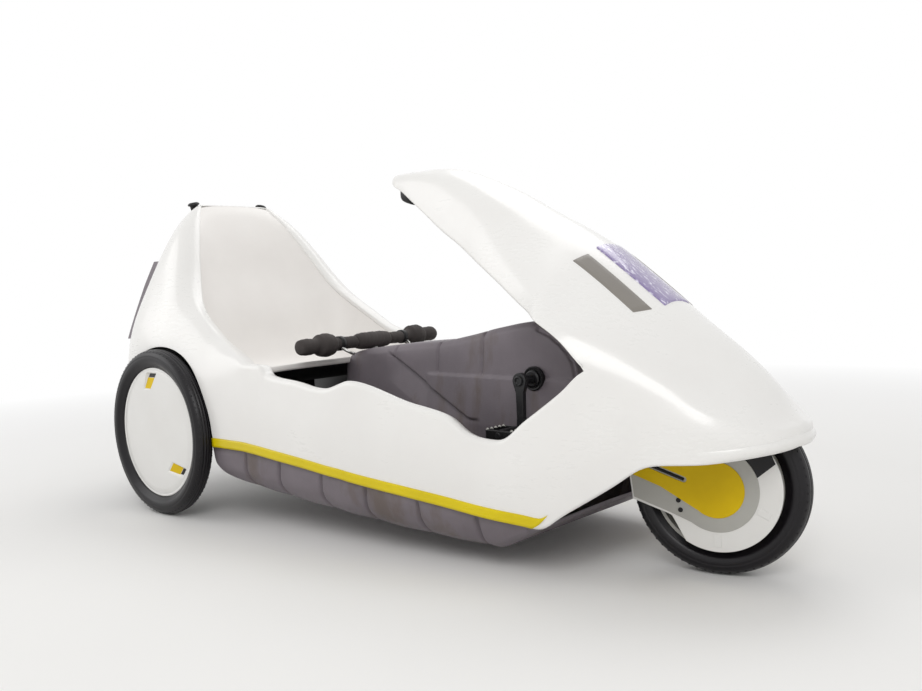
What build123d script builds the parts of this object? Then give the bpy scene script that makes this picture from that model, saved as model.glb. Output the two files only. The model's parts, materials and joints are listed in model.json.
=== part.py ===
from build123d import *
from math import sin, cos, asin, radians
from types import SimpleNamespace
import os

# Enclosed electric pedal three-wheeler with a reclined bucket seat.
# +X is forward, +Y is left, +Z is up. The origin is on the ground under the
# middle of the whole length. Two wheels are at the back, one steered in front.

# overall sizes
LENGTH = 1744.0
WIDTH = 744.0
HEIGHT = 795.0
# the rear wheels stand this far outside the body
WHEEL_PROUD = 22.0
BODY_WIDTH = WIDTH - 2 * WHEEL_PROUD
HL = LENGTH / 2
HB = BODY_WIDTH / 2
SHELL = 4.0
OVERRUN = 60.0
# the zero station of the tables below lies this far ahead of the middle
DATUM = 17.0
RUN_CLEAR = 0.3

# wheels
REAR_OVERHANG = 265.0
FRONT_OVERHANG = 175.0
REAR_X = REAR_OVERHANG - HL
FRONT_X = HL - FRONT_OVERHANG
REAR_R = 203.0
FRONT_R = 159.0
REAR_TYRE_W = 45.0
FRONT_TYRE_W = 57.0
REAR_TYRE_H = 40.0
FRONT_TYRE_H = 43.0
REAR_BEAD_R = REAR_R - REAR_TYRE_H
FRONT_BEAD_R = FRONT_R - FRONT_TYRE_H
TYRE_SHOULDER = 14.0
# how far out the tread's corner and the bulge of the side lie
TREAD_CORNER_SHARE = 0.72
TYRE_BULGE_SHARE = 0.5
REAR_HUB_R = 30.0
REAR_HUB_W = 62.0
WEB = 5.0
RIM_LIP = 6.0
AXLE_R = 10.0
FRONT_HUB_R = 24.0
FRONT_HUB_W = 66.0
HUBCAP_EDGE = 2.0
HUBCAP_R = REAR_BEAD_R - HUBCAP_EDGE
HUBCAP_T = 5.0
HUBCAP_FLAT_SHARE = 0.9
POCKET_W = 30.0
POCKET_SINK = 2.5
# each pocket: its angle seen from the right side, then how far inside the
# cover's edge it starts and ends
POCKETS = [
    SimpleNamespace(angle=88.0, start=61.0, end=25.0),
    SimpleNamespace(angle=-42.0, start=56.0, end=9.0),
]
TYRE_Y = WIDTH / 2 - REAR_TYRE_W / 2

# steering
RAKE = 15.0
STEER_REST = 12.0
BAR_REST = 7.0
CROWN_S = 176.0
CROWN_T = 12.0
CROWN_LEN = 96.0
STEERER_R = 11.0
HEAD_R = 20.0
HEAD_GAP = 3.0
HEAD_LEN = 80.0
CHEEK_Y = 42.0
CHEEK_T = 5.0
COVER_R = 114.0
PANEL_R = 47.0
PANEL_T = 3.0

# outline of a fork cheek, as shares of the cover radius, forward and up from the hub
CHEEK_SHARES = [
    # forward, up
    (-0.43, -0.90),
    (-0.72, -0.41),
    (-1.31, -0.21),
    (-1.42, 0.45),
    (-1.00, 1.42),
    (-0.12, 1.42),
    (0.30, 0.95),
]
# outline of the coloured panel, as shares of the cover radius
PANEL_SHARES = [
    # forward, up
    (-0.20, -0.37),
    (-0.61, -0.11),
    (-1.20, 0.16),
    (-1.32, 0.60),
    (-0.90, 0.72),
    (-0.30, 0.40),
    (0.10, 0.40),
]

# body wall sections, from front to back: share of half the length, then
# half-widths as shares of half the body width, then heights as shares of the
# whole height. base is the lower edge, waist the widest line, side the
# shoulder, crown the edge of the roof, ridge the middle of the roof
NOSE_SHARES = [
    # x, base_w, waist_w, side_w, crown_w, base_z, waist_z, side_z, crown_z, ridge_z
    (0.556, 0.711, 0.720, 0.706, 0.314, 0.146, 0.377, 0.580, 0.719, 0.738),
    (0.642, 0.614, 0.629, 0.586, 0.271, 0.206, 0.400, 0.541, 0.660, 0.686),
    (0.741, 0.529, 0.534, 0.486, 0.229, 0.277, 0.397, 0.484, 0.579, 0.615),
    (0.834, 0.451, 0.455, 0.400, 0.186, 0.283, 0.357, 0.415, 0.493, 0.533),
    (0.906, 0.354, 0.360, 0.309, 0.143, 0.293, 0.335, 0.384, 0.438, 0.465),
    (0.950, 0.263, 0.269, 0.229, 0.103, 0.301, 0.322, 0.352, 0.396, 0.414),
    (0.970, 0.171, 0.177, 0.143, 0.069, 0.308, 0.322, 0.337, 0.357, 0.365),
    (0.977, 0.086, 0.089, 0.069, 0.034, 0.315, 0.322, 0.328, 0.334, 0.336),
]
TAIL_SHARES = [
    (-0.344, 0.960, 0.966, 0.943, 0.829, 0.229, 0.365, 0.455, 0.473, 0.474),
    (-0.459, 0.966, 0.974, 0.949, 0.814, 0.229, 0.377, 0.497, 0.518, 0.519),
    (-0.573, 0.971, 0.983, 0.929, 0.800, 0.229, 0.403, 0.572, 0.599, 0.600),
    (-0.688, 0.974, 0.983, 0.891, 0.757, 0.229, 0.453, 0.654, 0.704, 0.708),
    (-0.780, 0.974, 0.977, 0.850, 0.650, 0.229, 0.478, 0.704, 0.836, 0.862),
    (-0.866, 0.971, 0.960, 0.800, 0.520, 0.229, 0.491, 0.704, 0.931, 0.979),
    (-0.915, 0.960, 0.929, 0.749, 0.470, 0.302, 0.503, 0.704, 0.915, 0.975),
    (-0.960, 0.929, 0.857, 0.686, 0.420, 0.365, 0.503, 0.679, 0.850, 0.900),
    (-0.995, 0.829, 0.771, 0.657, 0.400, 0.403, 0.478, 0.591, 0.700, 0.740),
]
# roof pod: share of half the length, half-widths, heights
POD_SHARES = [
    # x, edge_w, crown_w, edge_z, crown_z, ridge_z
    (0.556, 0.706, 0.314, 0.580, 0.719, 0.738),
    (0.443, 0.543, 0.274, 0.626, 0.766, 0.803),
    (0.287, 0.400, 0.229, 0.718, 0.860, 0.894),
    (0.114, 0.257, 0.171, 0.823, 0.945, 0.970),
    (-0.018, 0.171, 0.126, 0.914, 0.980, 0.997),
    (-0.120, 0.100, 0.074, 0.982, 0.992, 1.000),
]
# side sills: share of half the length, half-widths, heights
SILL_SHARES = [
    # x, base_w, waist_w, top_w, base_z, waist_z, top_z
    (0.556, 0.711, 0.719, 0.720, 0.146, 0.280, 0.411),
    (0.451, 0.751, 0.766, 0.766, 0.131, 0.230, 0.316),
    (0.394, 0.777, 0.794, 0.800, 0.138, 0.250, 0.342),
    (0.036, 0.894, 0.914, 0.897, 0.184, 0.320, 0.433),
    (-0.024, 0.909, 0.929, 0.909, 0.192, 0.310, 0.410),
    (-0.227, 0.949, 0.957, 0.934, 0.218, 0.340, 0.457),
    (-0.344, 0.960, 0.966, 0.943, 0.229, 0.365, 0.455),
]
SILL_LIP = 26.0
SILL_DROP = 36.0
# door notch in the side of the nose, x and z shares
NOTCH_SHARES = [(0.50, 0.625), (0.556, 0.580), (0.631, 0.478), (0.556, 0.411), (0.50, 0.35)]
# belly pan: share of half the length, half-widths, heights
BELLY_SHARES = [
    # x, top_w, base_w, top_z, base_z
    (0.512, 0.711, 0.671, 0.130, 0.120),
    (0.390, 0.760, 0.640, 0.139, 0.053),
    (0.029, 0.880, 0.715, 0.184, 0.070),
    (-0.298, 0.930, 0.800, 0.223, 0.106),
    (-0.459, 0.940, 0.829, 0.229, 0.126),
    (-0.505, 0.929, 0.870, 0.229, 0.189),
]
# centre hump: share of half the length, half-widths, heights
HUMP_SHARES = [
    # x, base_w, top_w, base_z, top_z
    (-0.285, 0.271, 0.150, 0.235, 0.470),
    (-0.265, 0.271, 0.171, 0.235, 0.482),
    (-0.077, 0.271, 0.183, 0.235, 0.516),
    (0.068, 0.271, 0.189, 0.225, 0.530),
    (0.169, 0.271, 0.194, 0.210, 0.550),
    (0.264, 0.271, 0.194, 0.195, 0.569),
    (0.396, 0.271, 0.189, 0.175, 0.574),
    (0.430, 0.263, 0.177, 0.170, 0.541),
    (0.456, 0.257, 0.171, 0.165, 0.439),
]
HUMP_WALL = 4.0
HUMP_BACK_X = HUMP_SHARES[0][0] * HL + DATUM
HUMP_HALF_W = HUMP_SHARES[0][1] * HB
FLOOR_T = 3.0
FLOOR_SHARE = 0.235
TRAY_LOW = FLOOR_SHARE * HEIGHT
# seat line seen from the side, x and z shares, front lip first
SEAT_SHARES = [
    # x, z
    (-0.290, 0.455),
    (-0.330, 0.430),
    (-0.480, 0.385),
    (-0.600, 0.385),
    (-0.680, 0.440),
    (-0.740, 0.600),
    (-0.872, 0.985),
]
# inside width of the seat bucket seen from above, x and half-width shares
SEAT_PLAN_SHARES = [
    # x, half-width
    (-0.20, 0.80),
    (-0.40, 0.775),
    (-0.62, 0.735),
    (-0.70, 0.66),
    (-0.80, 0.52),
    (-0.90, 0.39),
]
SEAT_T = 5.0
# where the bucket ends in front, where its rim is cut level, and the lip's back
# and front, as shares of the whole length behind the middle
BUCKET_FRONT_SHARE = 0.145
BUCKET_LEVEL_SHARE = 0.172
LIP_BACK_SHARE = 0.175
LIP_FRONT_SHARE = 0.14
ARCH_GAP = 11.0
LINER_GAP = 39.0
LINER_Y = TYRE_Y - REAR_TYRE_W / 2 - LINER_GAP
LINER_OUT_SHARE = 0.965

# belt stripe
STRIPE_H = 18.0
STRIPE_T = 1.2
STRIPE_SHARES = [(-0.480, 0.229), (-0.344, 0.229), (0.514, 0.125), (0.547, 0.146)]

# head lamp, seen from above
LENS_W = 90.0
LENS_X0 = 477.0
LENS_X1 = 620.0
LENS_T = 2.0
BAND_INNER_Y = 75.0
BAND_OUTER_Y = 110.0
BAND_SKEW = 7.0
BAND_X0 = 468.0
BAND_X1 = 609.0
BUMPER_T = 3.0
BUMPER_AHEAD = 65.0
BUMPER_X = FRONT_X + BUMPER_AHEAD

# instrument pod
INSTR_X = -43.0
INSTR_DROP = 5.0
INSTR_Z = POD_SHARES[-2][3] * HEIGHT - INSTR_DROP
INSTR_L = 40.0
INSTR_W = 112.0
INSTR_H = 40.0

# luggage bay and lid
TAIL_END = TAIL_SHARES[-1][0] * HL + DATUM
TAIL_TOP = TAIL_SHARES[-3][0] * HL + DATUM
# outline of the lid seen from behind: half-width as a share of the body's,
# height as a share of the whole
LID_SHARES = [(0.829, 0.535), (0.614, 0.790)]
LID_LOW_Z = LID_SHARES[0][1] * HEIGHT
LID_WRAP = 98.0
LID_X = TAIL_END + LID_WRAP
LID_BULGE = 10.0
LID_BACK = 20.0
LID_LAP = 8.0
BAY_STEP = 5.0
BAY_FLOOR_Z = LID_LOW_Z - BAY_STEP
BAY_FLOOR_T = 4.0
BAY_DECK_T = 2.0
BAY_HALF_W = 200.0
DECK_HALF_W = 170.0
DECK_BACK = 38.0
DECK_FRONT = 150.0
BAY_FRONT = 250.0
HINGE_R = 3.5
HINGE_LEN = 56.0
HINGE_Y = 120.0
HINGE_OUT = 9.0
HINGE_DROP = 11.0
HINGE_X = TAIL_END - HINGE_OUT
HINGE_Z = LID_LOW_Z - HINGE_DROP
KNUCKLE_R = 7.0
KNUCKLE_LEN = 36.0
LUG_T = 8.0

# mast sockets on the seat top
SOCKET_X = TAIL_TOP
SOCKET_Y = 112.0
SOCKET_R = 15.0
SOCKET_BORE = 6.0
SOCKET_LEN = 40.0

# frame
TUBE = 40.0
# the spine runs at the height of the belly pan's rear lip
SPINE_Z = BELLY_SHARES[-1][4] * HEIGHT
SPINE_START = 64.0
KNEE_BACK = 380.0
RISE_BACK = 270.0
RISE_UP = 110.0
SPINE_BACK_X = REAR_X + SPINE_START
SPINE_KNEE_X = FRONT_X - KNEE_BACK
SPINE_RISE_X = FRONT_X - RISE_BACK
SPINE_RISE_Z = SPINE_Z + RISE_UP
BEAM_R = 17.0
# the wheel-well liner reaches this far under the beam's hole
LINER_LIP = 3.945
LINER_LOW = REAR_R - BEAM_R - LINER_LIP
MOTOR_L = 130.0
MOTOR_W = 170.0
MOTOR_H = 110.0
BATTERY_L = 300.0
# the battery lies inside the hump, this far ahead of the hump's back
BATTERY_IN = 68.52
BATTERY_X = HUMP_BACK_X + BATTERY_IN + BATTERY_L / 2
BATTERY_W = 120.0
BATTERY_H = 120.0

# pedals
# place on the hump: share of half the length, share of the height
CRANK_SHARES = (0.384, 0.435)
CRANK_X = CRANK_SHARES[0] * HL + DATUM
CRANK_Z = CRANK_SHARES[1] * HEIGHT
CRANK_LEN = 96.0
CRANK_AXLE_R = 9.0
CRANK_ARM_T = 12.0
CRANK_ARM_W = 22.0
CRANK_ARM_GAP = 37.15
CRANK_ARM_Y = HUMP_HALF_W + CRANK_ARM_GAP
CRANK_BOSS = 18.0
CRANK_AXLE_LEN = 2 * (CRANK_ARM_Y + CRANK_BOSS)
BB_R = 17.0
BB_OUT = 3.0
PEDAL_L = 66.0
PEDAL_W = 72.0
PEDAL_T = 20.0
PEDAL_PIN_R = 5.0

# handlebar
BAR_SHARES = (-0.259, 0.486)
BAR_RISE = 22.6
BAR_X = BAR_SHARES[0] * HL + DATUM
BAR_Z = BAR_SHARES[1] * HEIGHT + BAR_RISE
BAR_R = 11.0
BAR_HALF = 245.0
GRIP_R = 15.5
GRIP_LEN = 118.0
KNOB_R = 18.5
KNOB_LEN = 14.0
COLLAR_LEN = 12.0
PAD_R = 21.0
PAD_LEN = 110.0
POST_R = 14.0
POST_GAP = 0.3
LEVER_R = 5.0
LEVER_LEN = 95.0
LEVER_DROP = 34.0
CLAMP_W = 16.0
CLAMP_R = 17.0

CAMBER = asin(sin(radians(RAKE)) * sin(radians(STEER_REST)))
FRONT_CORE = FRONT_R - FRONT_TYRE_W / 2
FRONT_Z = FRONT_TYRE_W / 2 + FRONT_CORE * cos(CAMBER)
STEER_DIR = Vector(-sin(radians(RAKE)), 0, cos(radians(RAKE)))
HUB = Vector(FRONT_X, 0, FRONT_Z)
STEER_AXIS = Axis(HUB, STEER_DIR)
ALL = LENGTH + OVERRUN

nodes = {}


def keep(name, shape):
    nodes[name] = shape


def mirrored(shape):
    return mirror(shape, about=Plane.XZ)


def pair(name, left):
    keep(name + "_left", left)
    keep(name + "_right", mirrored(left))


def place(shape, x, y, z):
    return Pos(x, y, z) * shape


def y_cyl(r, length, x, y, z):
    return Pos(x, y, z) * Rot(90, 0, 0) * Cylinder(r, length)


def side_prism(points, half):
    face = make_face(Plane.XZ * Polyline(*points, close=True))
    return extrude(face, amount=half, both=True)


def plan_prism(points, low, high):
    face = make_face(Plane.XY * Polyline(*points, close=True))
    return Pos(0, 0, low) * extrude(face, amount=high - low)


def bx(x0, x1, half, z0, z1):
    return Pos((x0 + x1) / 2, 0, (z0 + z1) / 2) * Box(abs(x1 - x0), 2 * half, abs(z1 - z0))


def body_rows(shares, inset=0.0, drop=0.0):
    rows = []
    for x, bw, ww, sw, cw, bz, wz, sz, cz, rz in shares:
        widths = (bw * HB - inset, ww * HB - inset, sw * HB - inset, cw * HB - inset / 2)
        walls = (bz * HEIGHT - drop, wz * HEIGHT, sz * HEIGHT - inset / 2)
        roof = (cz * HEIGHT - inset, rz * HEIGHT - inset)
        rows.append((x * HL + DATUM,) + widths + walls + roof)
    return rows


def body_section(row):
    x, bw, ww, sw, cw, bz, wz, sz, cz, rz = row
    at = Plane(origin=(x, 0, 0), x_dir=(0, 1, 0), z_dir=(1, 0, 0))
    lines = [
        Line((-bw, bz), (bw, bz)),
        Line((bw, bz), (ww, wz)),
        ThreePointArc((ww, wz), (sw, sz), (cw, cz)),
        ThreePointArc((cw, cz), (0, rz), (-cw, cz)),
        ThreePointArc((-cw, cz), (-sw, sz), (-ww, wz)),
        Line((-ww, wz), (-bw, bz)),
    ]
    return at * make_face(lines)


def poly_section(x, points):
    at = Plane(origin=(x, 0, 0), x_dir=(0, 1, 0), z_dir=(1, 0, 0))
    return at * make_face(Polyline(*points, close=True))


def lofted(faces):
    return loft(faces, ruled=True)


def largest(shape):
    return sorted(shape.solids(), key=lambda s: s.volume)[-1]


# nose cowl
nose_outer = lofted([body_section(r) for r in body_rows(NOSE_SHARES)])
inner_rows = body_rows(NOSE_SHARES, SHELL, OVERRUN / 2)
first = inner_rows[0]
last = inner_rows[-1]
inner_rows = [(first[0] - SHELL,) + first[1:]] + inner_rows[:-1] + [(last[0] - SHELL,) + last[1:]]
nose_inner = lofted([body_section(r) for r in inner_rows])
notch = side_prism([(x * HL + DATUM, z * HEIGHT) for x, z in NOTCH_SHARES], WIDTH)
nose = nose_outer - nose_inner - notch
keep("nose_cowl", nose)

# roof pod, open below
pod_faces = []
for x, ew, cw, ez, cz, rz in POD_SHARES:
    pod_faces.append((x * HL + DATUM, ew * HB, cw * HB, ez * HEIGHT, cz * HEIGHT, rz * HEIGHT))


def pod_section(x, ew, cw, ez, cz, rz, inset, drop):
    at = Plane(origin=(x, 0, 0), x_dir=(0, 1, 0), z_dir=(1, 0, 0))
    ew = ew - inset
    cw = cw - inset / 2
    cz = cz - inset
    rz = rz - inset
    low = ez - drop
    lines = [
        Line((-ew, low), (ew, low)),
        Line((ew, low), (cw, cz)),
        ThreePointArc((cw, cz), (0, rz), (-cw, cz)),
        Line((-cw, cz), (-ew, low)),
    ]
    return at * make_face(lines)


pod_outer = lofted([pod_section(*r, 0, 0) for r in pod_faces])
pod_cut = [pod_section(pod_faces[0][0] + SHELL, *pod_faces[0][1:], SHELL, SHELL)]
pod_cut += [pod_section(*row, SHELL, SHELL) for row in pod_faces[1:-1]]
pod = pod_outer - lofted(pod_cut)
keep("roof_pod", pod)

# side sills, a channel with its lip turned inwards
sill_faces = []
for x, bw, ww, tw, bz, wz, tz in SILL_SHARES:
    b = (bw * HB, bz * HEIGHT)
    w = (ww * HB, wz * HEIGHT)
    t = (tw * HB, tz * HEIGHT)
    lip_y = t[0] - SILL_LIP
    lip_z = t[1] - SILL_DROP
    outside = [b, w, t, (lip_y, t[1]), (lip_y, lip_z)]
    inside = [(lip_y + SHELL, lip_z), (lip_y + SHELL, t[1] - SHELL), (t[0] - SHELL, t[1] - SHELL)]
    inside += [(w[0] - SHELL, w[1]), (b[0] - SHELL, b[1])]
    sill_faces.append(poly_section(x * HL + DATUM, outside + inside))
pair("sill", lofted(sill_faces))

# tail shell with wheel arches, seat well and luggage opening
tail_outer = lofted([body_section(r) for r in body_rows(TAIL_SHARES)])
tail_rows = body_rows(TAIL_SHARES, SHELL, OVERRUN / 2)
front_row = tail_rows[0]
back_row = tail_rows[-1]
tail_rows = [(front_row[0] + SHELL,) + front_row[1:]] + tail_rows[:-1]
tail_rows += [(back_row[0] + SHELL,) + back_row[1:]]
tail_inner = lofted([body_section(r) for r in tail_rows])
seat_line = [(x * HL + DATUM, z * HEIGHT) for x, z in SEAT_SHARES]


def seat_side(grow):
    pts = [(x - grow / 2, z - grow) for x, z in seat_line]
    pts[0] = (pts[0][0] + OVERRUN, pts[0][1])
    pts[-1] = (pts[-1][0] - grow / 2, pts[-1][1] + OVERRUN)
    return pts + [(pts[0][0], pts[-1][1])]


def seat_plan(grow):
    half = [(x * HL + DATUM, w * HB + grow) for x, w in SEAT_PLAN_SHARES]
    return half + [(x, -w) for x, w in reversed(half)]


def seat_room(grow):
    return side_prism(seat_side(grow), HB) & plan_prism(seat_plan(grow), 0, HEIGHT + OVERRUN)


seat_space = seat_room(0)
seat_block = seat_room(SEAT_T)
bucket = (seat_block - seat_space) & bx(-HL, -LENGTH * BUCKET_FRONT_SHARE, HB, 0, HEIGHT + OVERRUN)
lip_top = seat_line[0][1] + SEAT_T
bucket = bucket - bx(-LENGTH * BUCKET_LEVEL_SHARE, 0, HB, lip_top, HEIGHT * 2)
lip_zone = bx(-LENGTH * LIP_BACK_SHARE, -LENGTH * LIP_FRONT_SHARE, HB, 0, lip_top)
keep("seat_bucket", bucket & (tail_outer + lip_zone))
arch = y_cyl(REAR_R + ARCH_GAP, WIDTH * 2, REAR_X, 0, REAR_R)
arch_left = arch - bx(-HL - OVERRUN, 0, LINER_Y, -HEIGHT, HEIGHT)
tail = tail_outer - tail_inner - seat_block - arch_left


def lid_zone(inset):
    # the lid's outline, drawn in by inset, as a prism along the vehicle
    pts = []
    for (w, z), step in zip(LID_SHARES, (inset, -inset)):
        pts.append((w * HB - inset, z * HEIGHT + step))
    pts = pts + [(-y, z) for y, z in reversed(pts)]
    return Pos(LID_X, 0, 0) * extrude(make_face(Plane.YZ * Polyline(*pts, close=True)), amount=LID_X - HL)


tail = tail - lid_zone(LID_LAP)
keep("tail_shell", tail)

# wheel-well liners: a band round each arch with an inner wall
liner_out = HB * LINER_OUT_SHARE
well = y_cyl(REAR_R + ARCH_GAP + SHELL, liner_out - LINER_Y, REAR_X, (liner_out + LINER_Y) / 2, REAR_R)
well = well - y_cyl(REAR_R + ARCH_GAP, HB, REAR_X, LINER_Y + SHELL + HB / 2, REAR_R)
well = well - y_cyl(BEAM_R + RUN_CLEAR, WIDTH, REAR_X, 0, REAR_R)
well = well & Pos(0, 0, HEIGHT / 2 + LINER_LOW) * Box(ALL, ALL, HEIGHT)
well_room = tail_inner + bx(-HL, tail_rows[0][0], HB, 0, tail_rows[0][5])
well = (well & well_room) - seat_block
pair("wheel_liner", well)

# luggage lid
lid_rows = body_rows(TAIL_SHARES, -LID_BULGE, 0)
lid_rows = [(r[0] - LID_BACK,) + r[1:] for r in lid_rows]
lid_solid = lofted([body_section(r) for r in lid_rows])
lid_seat = lofted([body_section((r[0] - RUN_CLEAR,) + r[1:]) for r in body_rows(TAIL_SHARES, -RUN_CLEAR, 0)])
lid = (lid_solid & lid_zone(0)) - lid_seat
lid_hollow_rows = body_rows(TAIL_SHARES, SHELL - LID_BULGE, 0)
lid_hollow = lofted([body_section((r[0] + SHELL - LID_BACK,) + r[1:]) for r in lid_hollow_rows])
lid = largest(lid - (lid_hollow & lid_zone(SHELL)))
pins = []
for y in (-HINGE_Y, HINGE_Y):
    tab_h = HINGE_DROP + LID_LAP
    tab = place(Box(LUG_T, KNUCKLE_LEN, tab_h), HINGE_X, y, HINGE_Z + tab_h / 2)
    knuckle = y_cyl(KNUCKLE_R, KNUCKLE_LEN, HINGE_X, y, HINGE_Z) + tab
    lid = lid + (knuckle - y_cyl(HINGE_R + RUN_CLEAR, HINGE_LEN, HINGE_X, y, HINGE_Z))
    pin = y_cyl(HINGE_R, HINGE_LEN, HINGE_X, y, HINGE_Z)
    for lug_y in (y - HINGE_LEN / 2 + LUG_T / 2, y + HINGE_LEN / 2 - LUG_T / 2):
        lug = bx(HINGE_X, TAIL_END, LUG_T / 2, HINGE_Z - HINGE_R, HINGE_Z + HINGE_R)
        pin = pin + Pos(0, lug_y, 0) * lug
    pins.append(pin)
keep("luggage_lid", lid)
keep("lid_hinge_left", pins[1])
keep("lid_hinge_right", pins[0])

# luggage bay floor: a plate that reaches the seat, with a raised deck for the load
bay = bx(TAIL_END, TAIL_END + BAY_FRONT, BAY_HALF_W, BAY_FLOOR_Z - BAY_FLOOR_T, BAY_FLOOR_Z - BAY_DECK_T)
deck = bx(TAIL_END + DECK_BACK, TAIL_END + DECK_FRONT, DECK_HALF_W, BAY_FLOOR_Z - BAY_DECK_T, BAY_FLOOR_Z)
keep("bay_floor", ((bay & tail_inner) - seat_block) + deck)

# mast sockets
sock_z = HEIGHT - SOCKET_LEN / 2
sock_place = Pos(SOCKET_X, SOCKET_Y, sock_z)
sock = sock_place * Cylinder(SOCKET_R, SOCKET_LEN) - sock_place * Cylinder(SOCKET_BORE, SOCKET_LEN * 2)
pair("mast_socket", sock)
for spot in (sock_place, Pos(SOCKET_X, -SOCKET_Y, sock_z)):
    nodes["tail_shell"] = nodes["tail_shell"] - spot * Cylinder(SOCKET_R, SOCKET_LEN * 2)

# belly pan
pan_faces = []
pan_inner = []
for x, tw, bw, tz, bz in BELLY_SHARES:
    t = (tw * HB, tz * HEIGHT)
    b = (bw * HB, bz * HEIGHT)
    pan_faces.append(poly_section(x * HL + DATUM, [t, b, (-b[0], b[1]), (-t[0], t[1])]))
for x, tw, bw, tz, bz in BELLY_SHARES[1:-1]:
    t = (tw * HB - SHELL, tz * HEIGHT + SHELL)
    b = (bw * HB - SHELL, bz * HEIGHT + SHELL)
    pan_inner.append(poly_section(x * HL + DATUM, [t, b, (-b[0], b[1]), (-t[0], t[1])]))
belly = lofted(pan_faces) - lofted(pan_inner)
keep("belly_pan", belly)

# floor tray, a plate a little above the belt
tray_pts = []
for x, bw, ww, tw, bz, wz, tz in SILL_SHARES[1:]:
    tray_pts.append((x * HL + DATUM, bw * HB - SHELL - FLOOR_T))
tray = plan_prism(tray_pts + [(x, -w) for x, w in reversed(tray_pts)], TRAY_LOW, TRAY_LOW + FLOOR_T)
hump_base = [(x * HL + DATUM, bw * HB) for x, bw, tw, bz, tz in HUMP_SHARES]

# centre hump, hollow and open below
hump_faces = []
hump_inner = []
for x, bw, tw, bz, tz in HUMP_SHARES:
    t = (tw * HB, tz * HEIGHT)
    b = (bw * HB, TRAY_LOW + FLOOR_T)
    hump_faces.append(poly_section(x * HL + DATUM, [t, b, (-b[0], b[1]), (-t[0], t[1])]))
for x, bw, tw, bz, tz in HUMP_SHARES[1:-1]:
    t = (tw * HB - HUMP_WALL, tz * HEIGHT - HUMP_WALL)
    b = (bw * HB - HUMP_WALL, TRAY_LOW - FLOOR_T)
    hump_inner.append(poly_section(x * HL + DATUM, [t, b, (-b[0], b[1]), (-t[0], t[1])]))
hump = lofted(hump_faces) - lofted(hump_inner)
hump = hump - y_cyl(BB_R + RUN_CLEAR, WIDTH, CRANK_X, 0, CRANK_Z)
keep("centre_hump", hump)
tray_hole = bx(hump_base[1][0], hump_base[-2][0], hump_base[0][1] - HUMP_WALL * 3, 0, HEIGHT)
keep("floor_tray", tray - tray_hole)

# belt stripes, a thin band on the outside just above the lower edge
stripe_line = [(x * HL + DATUM, z * HEIGHT) for x, z in STRIPE_SHARES]
band = stripe_line + [(x, z + STRIPE_H) for x, z in reversed(stripe_line[:2])]
sill_solid = []
sill_fat = []
for x, bw, ww, tw, bz, wz, tz in SILL_SHARES:
    b = (bw * HB, bz * HEIGHT)
    w = (ww * HB, wz * HEIGHT)
    sill_solid.append(poly_section(x * HL + DATUM, [(0, b[1]), b, w, (0, w[1])]))
    wide = [(0, b[1]), (b[0] + STRIPE_T, b[1]), (w[0] + STRIPE_T, w[1]), (0, w[1])]
    sill_fat.append(poly_section(x * HL + DATUM, wide))
stripe = (lofted(sill_fat) - lofted(sill_solid)) & side_prism(band, WIDTH)
pair("belt_stripe", largest(stripe))

# nose bumper lip, a strip round the front edge
fat = lofted([body_section((r[0] + BUMPER_T,) + r[1:]) for r in body_rows(NOSE_SHARES, -BUMPER_T, 0)])
bumper_top = NOSE_SHARES[-2][6] * HEIGHT
bump = (fat & bx(BUMPER_X, HL + OVERRUN, HB, 0, HEIGHT)) - nose_outer
bump = bump - bx(0, LENGTH, HB, bumper_top, HEIGHT)
bump = (bump & bx(BUMPER_X, HL, HB, 0, HEIGHT)) - nose_inner
keep("nose_bumper", largest(bump))

# head lamp lens and its grey surround lie on the roof surface
top_outer = nose_outer + pod_outer
top_fat = lofted([body_section((r[0],) + r[1:]) for r in body_rows(NOSE_SHARES[:4], -LENS_T, 0)])
pod_fat = lofted([pod_section(*r, -LENS_T, 0) for r in pod_faces[:3]])
lamp_skin = top_fat + pod_fat
lens_area = bx(LENS_X0, LENS_X1, LENS_W / 2, HEIGHT / 2, HEIGHT)
lens = (lamp_skin & lens_area) - top_outer
keep("headlamp_lens", largest(lens))
band_pts = [(BAND_X0, BAND_OUTER_Y), (BAND_X0 + BAND_SKEW, BAND_INNER_Y)]
band_pts += [(BAND_X1, BAND_INNER_Y), (BAND_X1 - BAND_SKEW, BAND_OUTER_Y)]
side_bands = []
for sign in (1, -1):
    area = plan_prism([(x, sign * y) for x, y in band_pts], HEIGHT / 2, HEIGHT)
    side_bands.append(largest((lamp_skin & area) - top_outer))
keep("lamp_surround", Compound(side_bands))

# instrument pod under the roof tip
instr = place(Box(INSTR_L, INSTR_W, INSTR_H), INSTR_X, 0, INSTR_Z + INSTR_H / 2)
instr = fillet(instr.edges().filter_by(Axis.Y), INSTR_H / 5)
instr = instr - pod_outer
keep("instrument_pod", largest(instr))

# frame: a square spine that rises to the head tube
head_low = CROWN_S + CROWN_T + HEAD_GAP
head_mid = HUB + STEER_DIR * (head_low + HEAD_LEN / 2)
spine_path = [(SPINE_BACK_X, SPINE_Z), (SPINE_KNEE_X, SPINE_Z)]
spine_path += [(SPINE_RISE_X, SPINE_RISE_Z), (head_mid.X, head_mid.Z)]
spine_wire = Wire(Polyline(*[(x, 0, z) for x, z in spine_path]).edges())
spine_start = Plane(origin=(SPINE_BACK_X, 0, SPINE_Z), z_dir=(1, 0, 0))


def spine_tube(width):
    return sweep(spine_start * Rectangle(width, width), path=spine_wire, transition=Transition.RIGHT)


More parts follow.
